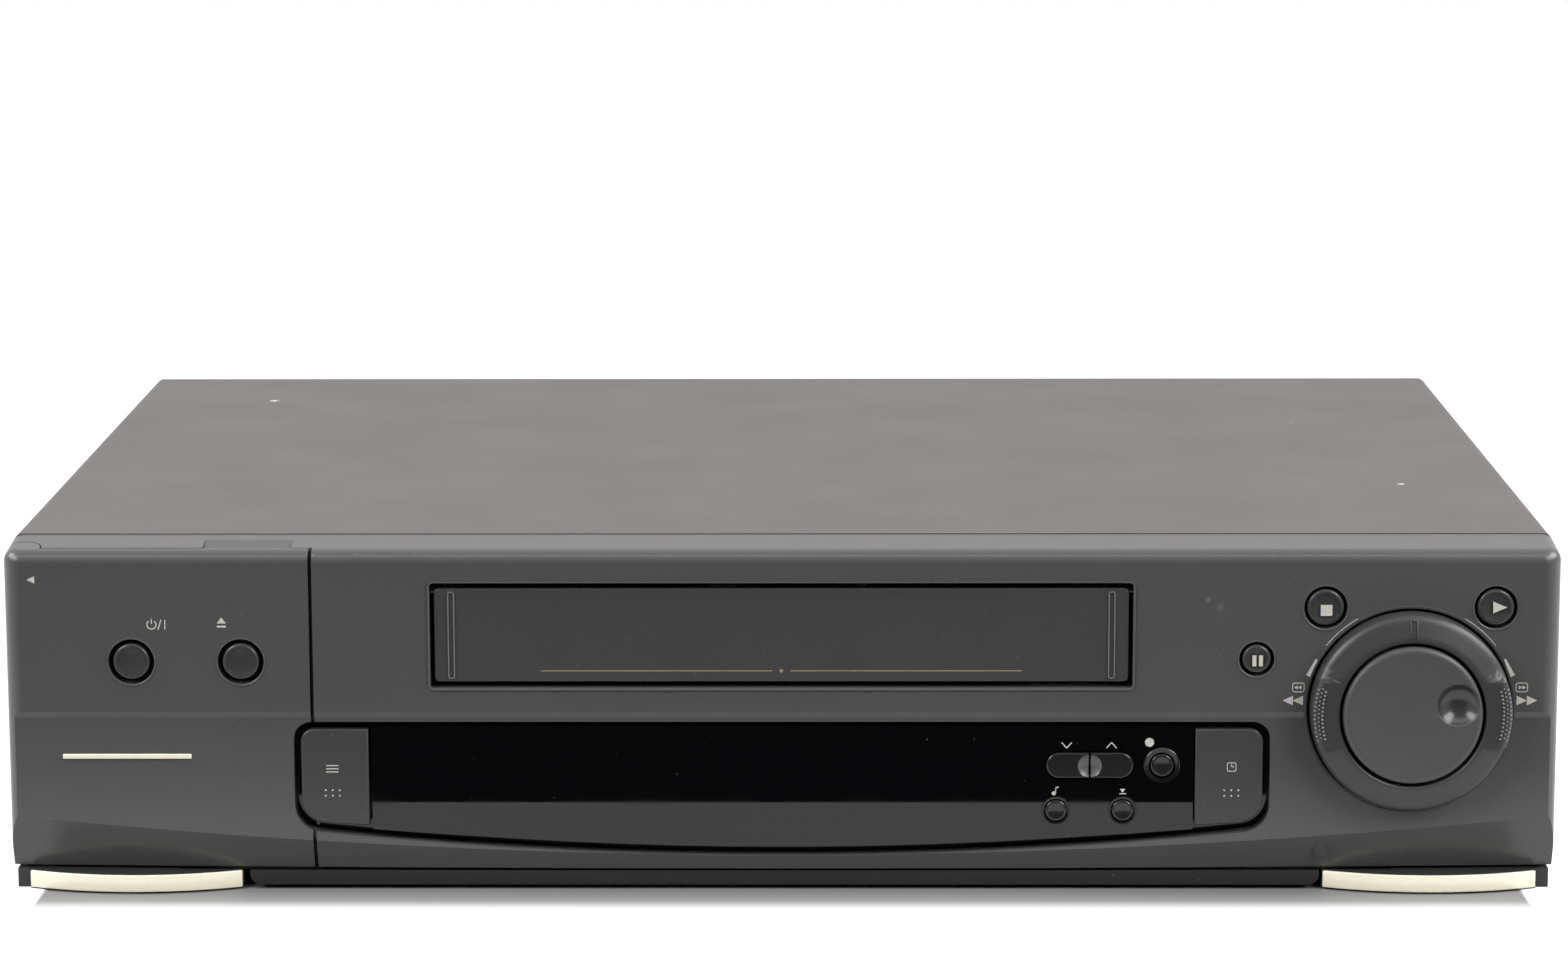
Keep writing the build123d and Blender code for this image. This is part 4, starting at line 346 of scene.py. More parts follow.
SCUFFS = (
    ((117.6, FRONT, 83.2), 1.4, 0.7, (0.17, 0.17, 0.16)),
    ((121.0, FRONT, 81.0), 1.7, 0.7, (0.14, 0.14, 0.135)),
    ((-129.0, FRONT + 1, 95.5), 0.7, 0.8, (0.2, 0.2, 0.19)),
)
CHIPS = (
    ((-169.1, 103.2, 98.5), 2.2, 0.4, (0.80, 0.79, 0.76)),
    ((181.8, -54.4, 98.5), 1.6, 0.4, (0.70, 0.69, 0.66)),
    ((160.2, 57.0, 98.5), 1.0, 0.6, (0.40, 0.39, 0.37)),
)
ZINC = ((0.56, 0.55, 0.50), 0.36, None, 0.2, 6)
POLISHED = {"depth": 0.001, "specks": 0.05}
MAKERS = {
    "bezel": lambda c: moulded("bezel_plastic", c.bezel, 0.30, marks=SCUFFS),
    "panel": lambda c: moulded("panel_plastic", (0.0095, 0.0085, 0.0085), 0.5),
    "cover": lambda c: enamel("cover_enamel", c.cover, CHIPS),
    "flap": lambda c: moulded("flap_plastic", shade(c.bezel, 0.66), 0.36),
    # Painted shade: a darker copy of the front plastic, for the disc that dims the post's end.
    "post_end": lambda c: moulded("post_plastic", shade(c.bezel, 0.36), 0.45),
    "keys": lambda c: moulded("key_plastic", c.keys, 0.27, grain=0.25, depth=0.004),
    "ring": lambda c: moulded("ring_plastic", shade(c.keys, 0.86), 0.38, depth=0.008, specks=0.15),
    "jog": lambda c: moulded("jog_plastic", shade(c.bezel, 0.94), 0.40, depth=0.008, specks=0.12),
    "tall": lambda c: moulded("tall_key_plastic", c.keys, 0.36, depth=0.006),
    # Painted highlight: a far lighter copy of the key plastic, standing in for glints.
    "teeth": lambda c: moulded("teeth_plastic", shade(c.keys, 4.6), 0.22, depth=0.002, specks=0.1),
    "bowl": lambda c: moulded("bowl_plastic", c.keys, 0.22, **POLISHED),
    # Painted highlight: a lighter copy of the key plastic for the scoops' linings, standing in for
    # their bright reflections.
    "scoop": lambda c: moulded("scoop_plastic", shade(c.keys, 2.2), 0.3, **POLISHED),
    "gloss": lambda c: moulded("gloss_key_plastic", shade(c.keys, 0.30), 0.16, **POLISHED),
    "jet": lambda c: moulded("jet_plastic", (0.004, 0.004, 0.0042), 0.20, **POLISHED),
    "window": lambda c: smoked("window_acrylic", c.window),
    "feet": lambda c: moulded("foot_plastic", (0.02, 0.02, 0.021), 0.5),
    "rubber": lambda c: moulded("foot_rubber", (0.018, 0.018, 0.018), 0.7, grain=0.8, specks=0.1),
    # Partly painted reflection: near-white cream with a small metallic share stands in for the
    # trims' bright reflection.
    "gold": lambda c: metal("champagne_trim", c.gold, 0.30, (0.02, 1, 1), 0.01, 0.1, 0.00001, 0.15),
    "marks": lambda c: ink("cream_print", c.marks),
    "gold_print": lambda c: ink("gold_print", c.gold_print),
    "zinc": lambda c: metal("zinc_plate", *ZINC),
    # The pan's front flange is blackened as painted shade.
    "pan": lambda c: metal("pan_plate", *ZINC, painted=FRONT + 6),
    "steel": lambda c: metal("ground_steel", (0.64, 0.64, 0.64), 0.22, (1, 1, 0.1)),
    "turned": lambda c: metal("turned_aluminium", (0.76, 0.77, 0.78), 0.16, (0.1, 0.1, 3)),
    "nickel": lambda c: metal("nickel_plate", (0.68, 0.67, 0.63), 0.2),
    "black_screw": lambda c: metal("black_oxide", (0.10, 0.10, 0.10), 0.42),
    "acetal": lambda c: moulded("white_acetal", (0.68, 0.67, 0.62), 0.4, 0.04, specks=0.0),
    "board": lambda c: phenolic("circuit_board"),
    "epoxy": lambda c: moulded("component_epoxy", (0.025, 0.025, 0.026), 0.4, specks=0.1),
    "socket": lambda c: moulded("socket_plastic", (0.02, 0.02, 0.021), 0.45, specks=0.1),
    "tube": lambda c: moulded("display_tube", (0.035, 0.05, 0.05), 0.12, depth=0.001, specks=0.0),
    "red": lambda c: moulded("red_insulator", (0.42, 0.02, 0.015), 0.4, 0.05, specks=0.0),
    "white": lambda c: moulded("white_insulator", (0.7, 0.69, 0.66), 0.4, 0.04, specks=0.0),
    "yellow": lambda c: moulded("yellow_insulator", (0.7, 0.45, 0.02), 0.4, 0.05, specks=0.0),
}
MADE = {}


def dress(piece, finish):
    """Gives every face of a piece or CAD node one finish, made on first use."""
    if finish not in MADE:
        MADE[finish] = MAKERS[finish](bpy.context.scene.recorder_colours)
    piece.data.materials.clear()
    piece.data.materials.append(MADE[finish])


def dress_nodes(finishes):
    """Finishes CAD nodes that keep their shape, from the nodes' names by finish."""
    for finish, nodes in finishes.items():
        for node in nodes.split():
            dress(NODES[node], finish)


# ---- modelling
def active():
    """Object in hand."""
    return bpy.context.object


def clear_selection():
    """Object mode, with nothing selected."""
    if active() and active().mode != "OBJECT":
        bpy.ops.object.mode_set(mode="OBJECT")
    bpy.ops.object.select_all(action="DESELECT")


def apply_place(*scale):
    """Gives the active object a size, if any, and moves its place and turn into its mesh."""
    if scale:
        active().scale = mm(*scale)
    bpy.ops.object.transform_apply(location=True, rotation=True, scale=True)


def move(piece, x, y, z, turn=0.0, axis="Z"):
    """Turns a piece's mesh about an axis, then moves it."""
    piece.data.transform(Matrix.Translation(mm(x, y, z)) @ Matrix.Rotation(turn, 4, axis))


def copies(piece, places):
    """Copies of a piece at several places, each with its own mesh; the piece itself goes."""
    made = []
    for place in places:
        copy = piece.copy()
        copy.data = piece.data.copy()
        bpy.context.collection.objects.link(copy)
        move(copy, *place)
        made.append(copy)
    bpy.data.objects.remove(piece)
    return made


def select_all():
    """Selects all of the edited mesh."""
    bpy.ops.mesh.select_all(action="SELECT")


def start_editing():
    """Edit mode on the active object, with all of it selected."""
    bpy.ops.object.mode_set(mode="EDIT")
    select_all()


def leave_editing():
    """Object mode, with the mesh as it is."""
    bpy.ops.object.mode_set(mode="OBJECT")


def smooth(angle):
    """Soft shading of the active object up to an angle in degrees."""
    bpy.ops.object.shade_smooth_by_angle(angle=radians(angle))


def stop_editing(angle=30):
    """Object mode, with outward faces and soft shading."""
    select_all()
    bpy.ops.mesh.normals_make_consistent(inside=False)
    leave_editing()
    smooth(angle)


def pick(kind, test):
    """Selects the faces, edges or vertices of the edited mesh whose middle passes a test."""
    bpy.ops.mesh.select_mode(type={"faces": "FACE", "edges": "EDGE", "verts": "VERT"}[kind])
    bpy.ops.mesh.select_all(action="DESELECT")
    mesh = bmesh.from_edit_mesh(active().data)
    for item in getattr(mesh, kind):
        corners = [item] if kind == "verts" else item.verts
        middle = sum((corner.co for corner in corners), Vector()) / len(corners)
        item.select = test(middle / MM)
    mesh.select_flush_mode()
    bmesh.update_edit_mesh(active().data)


def shift(x, y, z):
    """Moves what is selected in the edited mesh."""
    bpy.ops.transform.translate(value=mm(x, y, z))


def bevel(width, steps):
    """Rounds the selected edges."""
    bpy.ops.mesh.bevel(offset=width * MM, segments=steps, affect="EDGES")


def soften_front(front, width, steps):
    """Rounds the outline of the edited mesh's front face."""
    pick("faces", lambda point: point.y < front + SKIN)
    bpy.ops.mesh.region_to_loop()
    bevel(width, steps)


def modify(piece, kind, **values):
    """Adds a modifier and applies it."""
    clear_selection()
    piece.select_set(True)
    bpy.context.view_layer.objects.active = piece
    made = piece.modifiers.new(kind, kind)
    for key, value in values.items():
        setattr(made, key, value)
    bpy.ops.object.modifier_apply(modifier=made.name)


def cut(piece, cutter):
    """Cuts one shape out of a piece and removes that shape."""
    modify(piece, "BOOLEAN", operation="DIFFERENCE", object=cutter, solver="EXACT")
    bpy.data.objects.remove(cutter)


def soften(piece, width, angle):
    """Rounds a piece's edges that are sharper than an angle in degrees."""
    modify(piece, "BEVEL", width=width * MM, segments=3, limit_method="ANGLE",
           angle_limit=radians(angle))


def turned(x, z, profile, segments=96, closed=False, face=0.0):
    """Turned shape about an axis along Y, from rings of (radius, depth behind a face).

    A closed profile meets itself or the axis, and the ends of any other are filled.
    """
    clear_selection()
    profile = [(radius, face + depth) for radius, depth in profile]
    radius, y = profile[0]
    bpy.ops.mesh.primitive_circle_add(
        vertices=segments, radius=radius * MM, location=mm(x, y, z), rotation=(pi / 2, 0, 0))
    apply_place()
    start_editing()
    for next_radius, next_y in profile[1:]:
        step = mm(0, next_y - y, 0)
        bpy.ops.mesh.extrude_edges_move(TRANSFORM_OT_translate={"value": step})
        scale = next_radius / radius
        bpy.ops.transform.resize(value=(scale, 1, scale), center_override=mm(x, next_y, z))
        radius, y = next_radius, next_y
    select_all()
    if closed:
        bpy.ops.mesh.remove_doubles(threshold=0.001 * MM)
    else:
        bpy.ops.mesh.fill_holes(sides=0)
    stop_editing()
    return active()


def slab(low, high, edge=0.0, steps=3):
    """Block between two corners, rounded if it has an edge."""
    clear_selection()
    middle = [(a + b) / 2 for a, b in zip(low, high)]
    bpy.ops.mesh.primitive_cube_add(size=1, location=mm(*middle))
    apply_place(*[b - a for a, b in zip(low, high)])
    start_editing()
    if edge:
        bpy.ops.mesh.bevel(offset=edge * MM, segments=steps, affect="EDGES", clamp_overlap=True)
    stop_editing()
    return active()


def outlined(low, high, edge, wall, depth):
    """Rounded block whose front is sunk inside a thin wall."""
    made = slab(low, high, edge)
    start_editing()
    pick("faces", lambda point: point.y < low[1] + SKIN)
    bpy.ops.mesh.inset(thickness=wall * MM)
    shift(0, depth, 0)
    stop_editing()
    return made


def ball_of(radius, depth):
    """Radius of the ball that makes a hollow of a radius and depth."""
    return (radius**2 + depth**2) / (2 * depth)


def hollow(piece, x, z, face, radius, depth, segments, rings):
    """Cuts a round hollow into a piece's face."""
    ball = ball_of(radius, depth)
    clear_selection()
    bpy.ops.mesh.primitive_uv_sphere_add(
        segments=segments, ring_count=rings, radius=ball * MM,
        location=mm(x, face + depth - ball, z))
    apply_place()
    cut(piece, active())


def hollow_lining(x, z, face, radius, depth, inset, steps):
    """Polished skin just in front of such a hollow."""
    ball, lift = ball_of(radius, depth), 0.03
    reaches = [(radius - inset) * (1 - step / (steps + 0.001)) for step in range(steps + 1)]
    profile = [(reach, depth - ball + (ball**2 - reach**2) ** 0.5 - lift) for reach in reaches]
    return turned(x, z, profile, 64, closed=True, face=face)


def join(pieces):
    """Joins several pieces into the first."""
    clear_selection()
    for piece in pieces:
        piece.select_set(True)
    bpy.context.view_layer.objects.active = pieces[0]
    if len(pieces) > 1:
        bpy.ops.object.join()
    return pieces[0]


def settle(piece, name, finish, body, slot, *replaced):
    """Names a piece, finishes it and gives it to its body."""
    piece.name = name
    piece.data.name = name
    dress(piece, finish)
    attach(piece, body)
    if replaced:
        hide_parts(*replaced)


# ---- printed marks
LEFT, RIGHT, UP, DOWN = pi / 2, -pi / 2, 0.0, pi


def bar(x, z, width, height, turn=0.0):
    """Rectangle."""
    bpy.ops.mesh.primitive_plane_add(
        size=1, location=mm(x, 0, z), rotation=(pi / 2, -turn, 0))
    apply_place(width, height, 1)


def dot(x, z, radius, sides=32):
    """Round spot."""
    bpy.ops.mesh.primitive_circle_add(
        vertices=sides, radius=radius * MM, fill_type="NGON", location=mm(x, 0, z),
        rotation=(pi / 2, 0, 0))


def arrow(x, z, length, width, turn):
    """Triangle of a length along its pointing direction; turn 0 points up."""
    bpy.ops.mesh.primitive_circle_add(
        vertices=3, radius=1, fill_type="NGON", location=mm(x, 0, z),
        rotation=(pi / 2, -turn, 0))
    apply_place(width / 3**0.5, length / 1.5, 1)


def arc(x, z, radius, line, start, stop):
    """Part of a thin ring, from one angle to another in degrees."""
    inner, outer = radius - line / 2, radius + line / 2
    bpy.ops.mesh.primitive_circle_add(
        vertices=96, radius=inner * MM, location=mm(x, 0, z), rotation=(pi / 2, 0, 0))
    apply_place()
    start_editing()
    bpy.ops.mesh.extrude_edges_move()
    scale = outer / inner
    bpy.ops.transform.resize(value=(scale, 1, scale), center_override=mm(x, 0, z))
    span = (stop - start) % 360
    pick("verts", lambda point: (
        (degrees(atan2(point.z - z, point.x - x)) - start) % 360 > span))
    bpy.ops.mesh.delete(type="VERT")
    leave_editing()


def wedge(x, z, length, narrow, wide, turn):
    """Bar that grows from its narrow upper end to its wide lower end."""
    bpy.ops.mesh.primitive_plane_add(size=1)
    apply_place(narrow, length, 1)
    start_editing()
    pick("verts", lambda point: point.y < 0)
    bpy.ops.transform.resize(value=(wide / narrow, 1, 1))
    leave_editing()
    active().rotation_euler = (pi / 2, -turn, 0)
    active().location = mm(x, 0, z)


def box_line(x, z, width, height, corner, line):
    """Rounded rectangular outline."""
    bar(x, z, width, height)
    start_editing()
    bpy.ops.mesh.bevel(offset=corner * MM, segments=4, affect="VERTICES")
    select_all()
    bpy.ops.mesh.inset(thickness=line * MM)
    bpy.ops.mesh.delete(type="FACE")
    leave_editing()


def rim_line(x, z, width, height, corner, line, rise):
    """Rounded rectangular outline, raised at its outer side."""
    box_line(x, z, width, height, corner, line)
    start_editing()
    pick("verts", lambda point: (
        abs(point.x - x) > (width - line) / 2 or abs(point.z - z) > (height - line) / 2))
    shift(0, -rise, 0)
    leave_editing()


def printed(name, body, depth, finish, shapes, slot="white_plastic"):
    """Flat marks on the face that lies a depth behind the front, as one thin piece."""
    height = size("print_height")
    made = []
    for shape, *values in shapes:
        clear_selection()
        shape(*values)
        apply_place()
        made.append(active())
    piece = join(made)
    move(piece, 0, FRONT + depth - height, 0)
    start_editing()
    bpy.ops.mesh.normals_make_consistent(inside=False)
    leave_editing()
    modify(piece, "SOLIDIFY", thickness=height * 1.5 * MM, offset=0.0)
    move(piece, 0, height * 0.5, 0)
    start_editing()
    stop_editing()
    settle(piece, name, finish, body, slot)


# ---- operators
class RECORDER_OT_case(bpy.types.Operator):
    """Finish the cover, front, door, plinth and feet"""

    bl_idname = "recorder.case"
    bl_label = "Case"

    def execute(self, context):
        dress_nodes({
            "cover": "top_cover", "bezel": "front_bezel av_door", "panel": "front_plinth",
            "feet": "front_feet", "rubber": "rear_feet", "pan": "base_pan", "zinc": "rear_panel",
            "window": "display_window", "steel": "deck_screws",
        })
        return {"FINISHED"}


class RECORDER_OT_inside(bpy.types.Operator):
    """Finish the deck, boards and sockets"""

    bl_idname = "recorder.inside"
    bl_label = "Inside"

    def execute(self, context):
        dress_nodes({
            "board": "front_board main_board power_board",
            "tube": "display_tube",
            "epoxy": "tact_switches power_parts board_parts",
            "socket": "scart_sockets mains_inlet",
            "zinc": "jog_encoder tuner_can carriage_frame carriage_slider cassette_holder "
                    "deck_plate pinch_arm",
            "nickel": "front_jacks rear_jacks rf_sockets control_head erase_head loading_motor",
            "turned": "drum_lower drum_upper",
            "steel": "capstan capstan_bearing tension_arm",
            "rubber": "pinch_roller",
            "acetal": "supply_reel takeup_reel supply_pole takeup_pole cam_gear",
        })
        return {"FINISHED"}


class RECORDER_OT_round_keys(bpy.types.Operator):
    """Model the round keys with soft edges and a shallow hollow"""

    bl_idname = "recorder.round_keys"
    bl_label = "Round Keys"

    def execute(self, context):
        for name in ("power", "eject", "stop", "play", "pause", "rec", "audio_dub", "insert"):
            node = f"key_{name}"
            x, z, radius = middle_of(node)
            front, deep = depths_of(node)
            small = radius < 3.5
            stem, back, edge_share, dish_share = (
                (1.5, 5.3, 0.6, 0.5) if small else (2.5, 6.0, 1, 1))
            edge, dish = size("key_edge") * edge_share, size("key_dish") * dish_share
            cap = turned(x, z, [
                (stem, deep), (stem, back), (radius - 0.2, back), (radius, back - 0.2),
                (radius, edge), (radius - edge * 0.15, edge * 0.5),
                (radius - edge * 0.5, edge * 0.15), (radius - edge, 0),
                (radius - edge * 1.5, dish * 0.05), (radius * 0.75, dish * 0.45),
                (radius * 0.5, dish * 0.75), (radius * 0.25, dish * 0.94), (radius * 0.05, dish),
            ], 48, face=front)
            settle(cap, f"{node}_cap", "gloss" if small else "keys", node, "key_plastic", node)
        return {"FINISHED"}


class RECORDER_OT_tall_keys(bpy.types.Operator):
    """Model the tall keys beside the window, following the recess's rounded ends"""

    bl_idname = "recorder.tall_keys"
    bl_label = "Tall Keys"

    def execute(self, context):
        for node, side in (("key_menu", -1), ("key_timer", 1)):
            low, high = box(node)
            x, z, half = middle_of(node)
            outer = x + side * half
            front = FRONT + SIDE_KEY_DEPTH
            back = front + 3.4
            cap = slab((low.x, front, low.z + 0.5), (high.x, back, high.z))
            start_editing()
            pick("verts", lambda point: abs(point.x - outer) < 1 and point.z < z)
            shift(0, 0, 1.0)
            for radius, above in ((3.5, True), (6.5, False)):
                pick("edges", lambda point: (
                    abs(point.x - outer) < NEAR and abs(point.y - (front + back) / 2) < NEAR
                    and (point.z > z) == above))
                bevel(radius, 10)
            soften_front(front, size("side_key_edge"), 3)
            stop_editing()
            stem = turned(x, z, [(2.5, back - 0.5), (2.5, high.y)], 24)
            settle(join([cap, stem]), f"{node}_cap", "tall", node, "key_plastic", node)
        return {"FINISHED"}


class RECORDER_OT_channel_keys(bpy.types.Operator):
    """Model the two halves of the channel key and the thumb scoop across their joint, its lining
    lighter as painted highlight
    """

    bl_idname = "recorder.channel_keys"
    bl_label = "Channel Keys"

    def execute(self, context):
        joint = (box("key_channel_down")[1].x + box("key_channel_up")[0].x) / 2
        for node, side in (("key_channel_down", -1), ("key_channel_up", 1)):
            low, high = box(node)
            x, z, half = middle_of(node)
            outer, inner = x + side * half, x - side * half
            back = low.y + 3.4
            scoop = (joint, z, low.y, size("scoop_radius"), size("scoop_depth"))
            cap = slab(low, (high.x, back, high.z))
            start_editing()
            pick("edges", lambda point: (
                abs(point.x - outer) < NEAR and abs(point.y - (low.y + back) / 2) < NEAR))
            bevel((high.z - low.z) / 2 * 0.99, 14)
            soften_front(low.y, 0.55, 4)
            stop_editing()
            hollow(cap, *scoop, 64, 48)
            smooth(25)
            stem = turned(x, z, [(1.5, back - 0.5), (1.5, high.y)], 24)
            settle(join([cap, stem]), f"{node}_cap", "gloss", node, "key_plastic", node)
            # The scoop's lining is made lighter than the key, as painted highlight.
            lining = hollow_lining(*scoop, 0.15, 12)
            start_editing()
            bpy.ops.mesh.bisect(plane_co=mm(inner + side * 0.1, 0, 0), plane_no=(-side, 0, 0),
                                clear_outer=True)
            stop_editing()
            settle(lining, f"{node}_scoop", "scoop", node, "key_plastic")
        return {"FINISHED"}


class RECORDER_OT_foot_trims(bpy.types.Operator):
    """Model the bowed champagne strips on the front feet"""

    bl_idname = "recorder.foot_trims"
    bl_label = "Foot Trims"

    def execute(self, context):
        low, high = box("foot_trims")
        half, end_y, height, thickness = 29.85, FRONT + 3.5, 4.7, 1.2
        bow = ball_of(half, end_y - low.y)
        clear_selection()
        bpy.ops.mesh.primitive_circle_add(
            vertices=384, radius=bow * MM, location=mm(0, low.y + bow, 0.6))
        apply_place()
        start_editing()
        pick("verts", lambda point: point.y > end_y + 0.2)
        bpy.ops.mesh.delete(type="VERT")
        select_all()
        bpy.ops.mesh.extrude_edges_move(TRANSFORM_OT_translate={"value": mm(0, 0, height)})
        stop_editing()
        strip = active()
        modify(strip, "SOLIDIFY", thickness=thickness * MM, offset=-1.0)
        if min(vertex.co.y for vertex in strip.data.vertices) / MM < low.y - NEAR:
            move(strip, 0, thickness, 0)
        soften(strip, 0.28, 40)
        smooth(30)
        strips = copies(strip, [(side * (high.x - half), 0, 0) for side in (-1, 1)])
        settle(join(strips), "champagne_strips", "gold", "chassis", "gold_trim", "foot_trims")
        return {"FINISHED"}


class RECORDER_OT_flap(bpy.types.Operator):
    """Model the cassette flap with its rounded edges, two beads and hinge pins"""

    bl_idname = "recorder.flap"
    bl_label = "Cassette Flap"

    def execute(self, context):
        low = Vector((-95.9, FRONT + FLAP_DEPTH, 59.8))
        high = Vector((95.9, FRONT + FLAP_DEPTH + 3.0, 86.1))
        middle = (low + high) / 2
        plate = slab(low, high)
        start_editing()
        pick("edges", lambda point: (
            abs(point.x) > high.x - NEAR and abs(point.y - middle.y) < NEAR
            and abs(point.z - middle.z) > 5))
        bevel(1.3, 6)
        soften_front(low.y, size("flap_edge"), 4)
        stop_editing()
        bead = outlined((-1.0, low.y - 0.3, 60.6), (1.0, low.y + 0.6, 85.4), 0.24, 0.28, 0.42)
        pin = turned(0, 0, [(0.7, 0), (1.0, 0.3), (1.0, 3.6)], 24)
        beads = copies(bead, [(side * BEAD_X, 0, 0) for side in (-1, 1)])
        pins = copies(pin, [
            (side * 98.5, FRONT + 2.5, 85.45, side * pi / 2) for side in (-1, 1)])
        settle(join(pins), "flap_pins", "jet", "cassette_flap", "bezel_plastic")
        settle(join([plate, *beads]), "flap_panel", "flap", "cassette_flap", "bezel_plastic",
               "cassette_flap")
        return {"FINISHED"}


class RECORDER_OT_shuttle_ring(bpy.types.Operator):
    """Model the shuttle ring with its index mark, finger grips and knurling"""

    bl_idname = "recorder.shuttle_ring"
    bl_label = "Shuttle Ring"

    def execute(self, context):
        x, z, radius = middle_of("shuttle_ring")
        front, deep = depths_of("shuttle_ring")
        bore, slope = 20.1, size("ring_slope")
        falls = [(21.2, 0.0), (22.4, 0.25), (23.6, 0.5), (24.8, 0.75), (25.9, 0.98)]
        ring = turned(x, z, [
            (8.0, deep), (8.0, 14.0), (radius - 0.3, 14.0), (radius, 13.7), (radius, slope + 1.6),
            (radius - 0.15, slope + 1.1), (radius - 0.5, slope + 0.6), (radius - 1.0, slope + 0.25),
            *[(reach, slope * share) for reach, share in reversed(falls)],
            (bore + 0.5, 0.02), (bore + 0.1, 0.3), (bore, 0.7), (bore, 12.0), (3.1, 12.0),
            (3.1, deep), (8.0, deep),
        ], 144, closed=True, face=front)
        start_editing()
        for height in (-9.4, -9.2, 9.2, 9.8, 10.6, 11.8):
            select_all()
            bpy.ops.mesh.bisect(plane_co=mm(x, 0, z + height), plane_no=(0, 0, 1))
        bands = ((-9.3, 9.3, 1.0), (9.3, 9.9, 0.6), (9.9, 10.7, 0.3), (10.7, 11.9, 0.08))
        reaches = [(reach - 0.4, reach + 0.8, share) for reach, share in falls[1:4]]
        for bottom, top, height_share in bands:
            for start, stop, reach_share in (*reaches, (25.5, 27.7, 1.0)):
                pick("verts", lambda point: (
                    start < hypot(point.x - x, point.z - z) <= stop
                    and bottom < point.z - z < top and point.y < front + slope + 1.2))
                shift(0, -slope * height_share * reach_share, 0)
        stop_editing(25)
        settle(ring, "ring_body", "ring", "shuttle_ring", "key_plastic", "shuttle_ring")
        self.add_index(x, z, front, slope)
        self.add_knurls(x, z, radius, front)
        return {"FINISHED"}

    def add_index(self, x, z, front, slope):
        """Raised outline of the index mark at the top of the ring, lying on the sloping face."""
        mark = outlined((-1.15, -0.38, -2.7), (1.15, 0.5, 2.7), 0.36, 0.12, 0.7)
        move(mark, x, front + slope * 0.56, z + 23.9, -atan2(slope, 4.8), "X")
        settle(mark, "ring_index", "ring", "shuttle_ring", "key_plastic")

    def add_knurls(self, x, z, radius, front):
        """Rows of small teeth in both grips, one tooth copied, coloured light as painted glints."""
        clear_selection()
        bpy.ops.mesh.primitive_cone_add(
            vertices=4, radius1=0.62 * MM, radius2=0.16 * MM,
            depth=size("knurl_height") * 2 * MM, rotation=(pi / 2, 0, 0))
        apply_place()
        start_editing()
        bevel(0.05, 1)
        stop_editing(20)
        places = []
        for side in (-1, 1):
            for row in range(3):
                reach, y = radius - 0.75 - 0.95 * row, front + 0.47 - 0.3 * row
                for step in range(-6, 7):
                    angle = (step + 0.5 * (row % 2)) * 0.045
                    places.append((x + side * reach * cos(angle), y, z + reach * sin(angle)))
        teeth = join(copies(active(), places))
        # The knurl teeth are coloured light as painted glints.
        settle(teeth, "ring_knurls", "teeth", "shuttle_ring", "key_plastic")


class RECORDER_OT_jog_dial(bpy.types.Operator):
    """Model the jog dial with its rolled edge and finger hollow"""

    bl_idname = "recorder.jog_dial"
    bl_label = "Jog Dial"

    def execute(self, context):
        x, z, radius = middle_of("jog_dial")
        front, deep = depths_of("jog_dial")
        dial = turned(x, z, [
            (3.0, deep), (3.0, 6.0), (radius - 0.3, 6.0), (radius, 5.7), (radius, 1.3),
            (radius - 0.12, 0.8), (radius - 0.4, 0.35), (radius - 0.9, 0.07), (radius - 1.5, 0),
            (radius - 2.6, 0.12), (radius - 3.6, 0.3), (8.0, 0.38), (0.5, 0.4),
        ], 144, face=front)
        dimple = (x + 12.2, z + 3.0, front + 0.35, size("dimple_radius"), size("dimple_depth"))
        hollow(dial, *dimple, 96, 64)
        soften(dial, 0.22, 28)
        smooth(32)
        settle(dial, "jog_face", "jog", "jog_dial", "key_plastic", "jog_dial")
        settle(hollow_lining(*dimple, 0.3, 16), "jog_bowl", "bowl", "jog_dial", "key_plastic")
        return {"FINISHED"}


class RECORDER_OT_hole_lips(bpy.types.Operator):
    """Model the soft lips round the keys, dials and slot, and lay a darker disc on the post's end
    as painted shade
    """

    bl_idname = "recorder.hole_lips"
    bl_label = "Hole Lips"

    def execute(self, context):
        x, z, radius = middle_of("key_rec")
        face = FRONT + WINDOW_DEPTH
        bowl = turned(x, z, [(radius + reach, depth) for reach, depth in (
            (0.45, 0.3), (0.45, -0.04), (1.1, -0.2), (1.45, -0.36), (1.6, -0.36), (1.8, -0.2),
            (1.85, 0.3), (0.45, 0.3))], 64, closed=True, face=face)
        settle(bowl, "record_key_bowl", "jet", "chassis", "window_plastic")
        width, height = size("lip_width"), size("lip_height")
        for body, keys, gap in (
                ("av_door", ("power", "eject"), 1.3), ("chassis", ("stop", "play", "pause"), 0.9)):
            lips = [self.lip(f"key_{key}", gap, width, height) for key in keys]
            if body == "chassis":
                lips.append(self.lip("shuttle_ring", 0.85, width * 1.4, height))
            settle(join(lips), f"{body}_lips", "bezel", body, "bezel_plastic")
        rims = [self.lip(f"key_{key}", 0.35, 0.75, 0.05, face) for key in ("audio_dub", "insert")]
        settle(join(rims), "small_key_rims", "jet", "chassis", "window_plastic")
        # A thin darker disc over the post's end, as painted shade.
        printed("post_end_cap", "chassis", 1.8, "post_end", [(dot, 150, 12, 1.84)],
                "bezel_plastic")
        printed("slot_rim", "chassis", 0.0, "bezel",
                [(rim_line, 0, SLOT_Z, 195.3, 30.75, 1.7, 0.55, 0.3)], "bezel_plastic")
        return {"FINISHED"}

    def lip(self, node, gap, width, height, face=FRONT):
        """Raised ring round a key's or dial's hole, sloping down into it."""
        x, z, radius = middle_of(node)
        hole = radius + gap
        return turned(x, z, [
            (hole, 0.3), (hole, -height * 0.1), (hole + width * 0.35, -height * 0.5),
            (hole + width * 0.7, -height * 0.95), (hole + width * 0.85, -height),
            (hole + width, SKIN), (hole + width, 0.3), (hole, 0.3),
        ], closed=True, face=face)


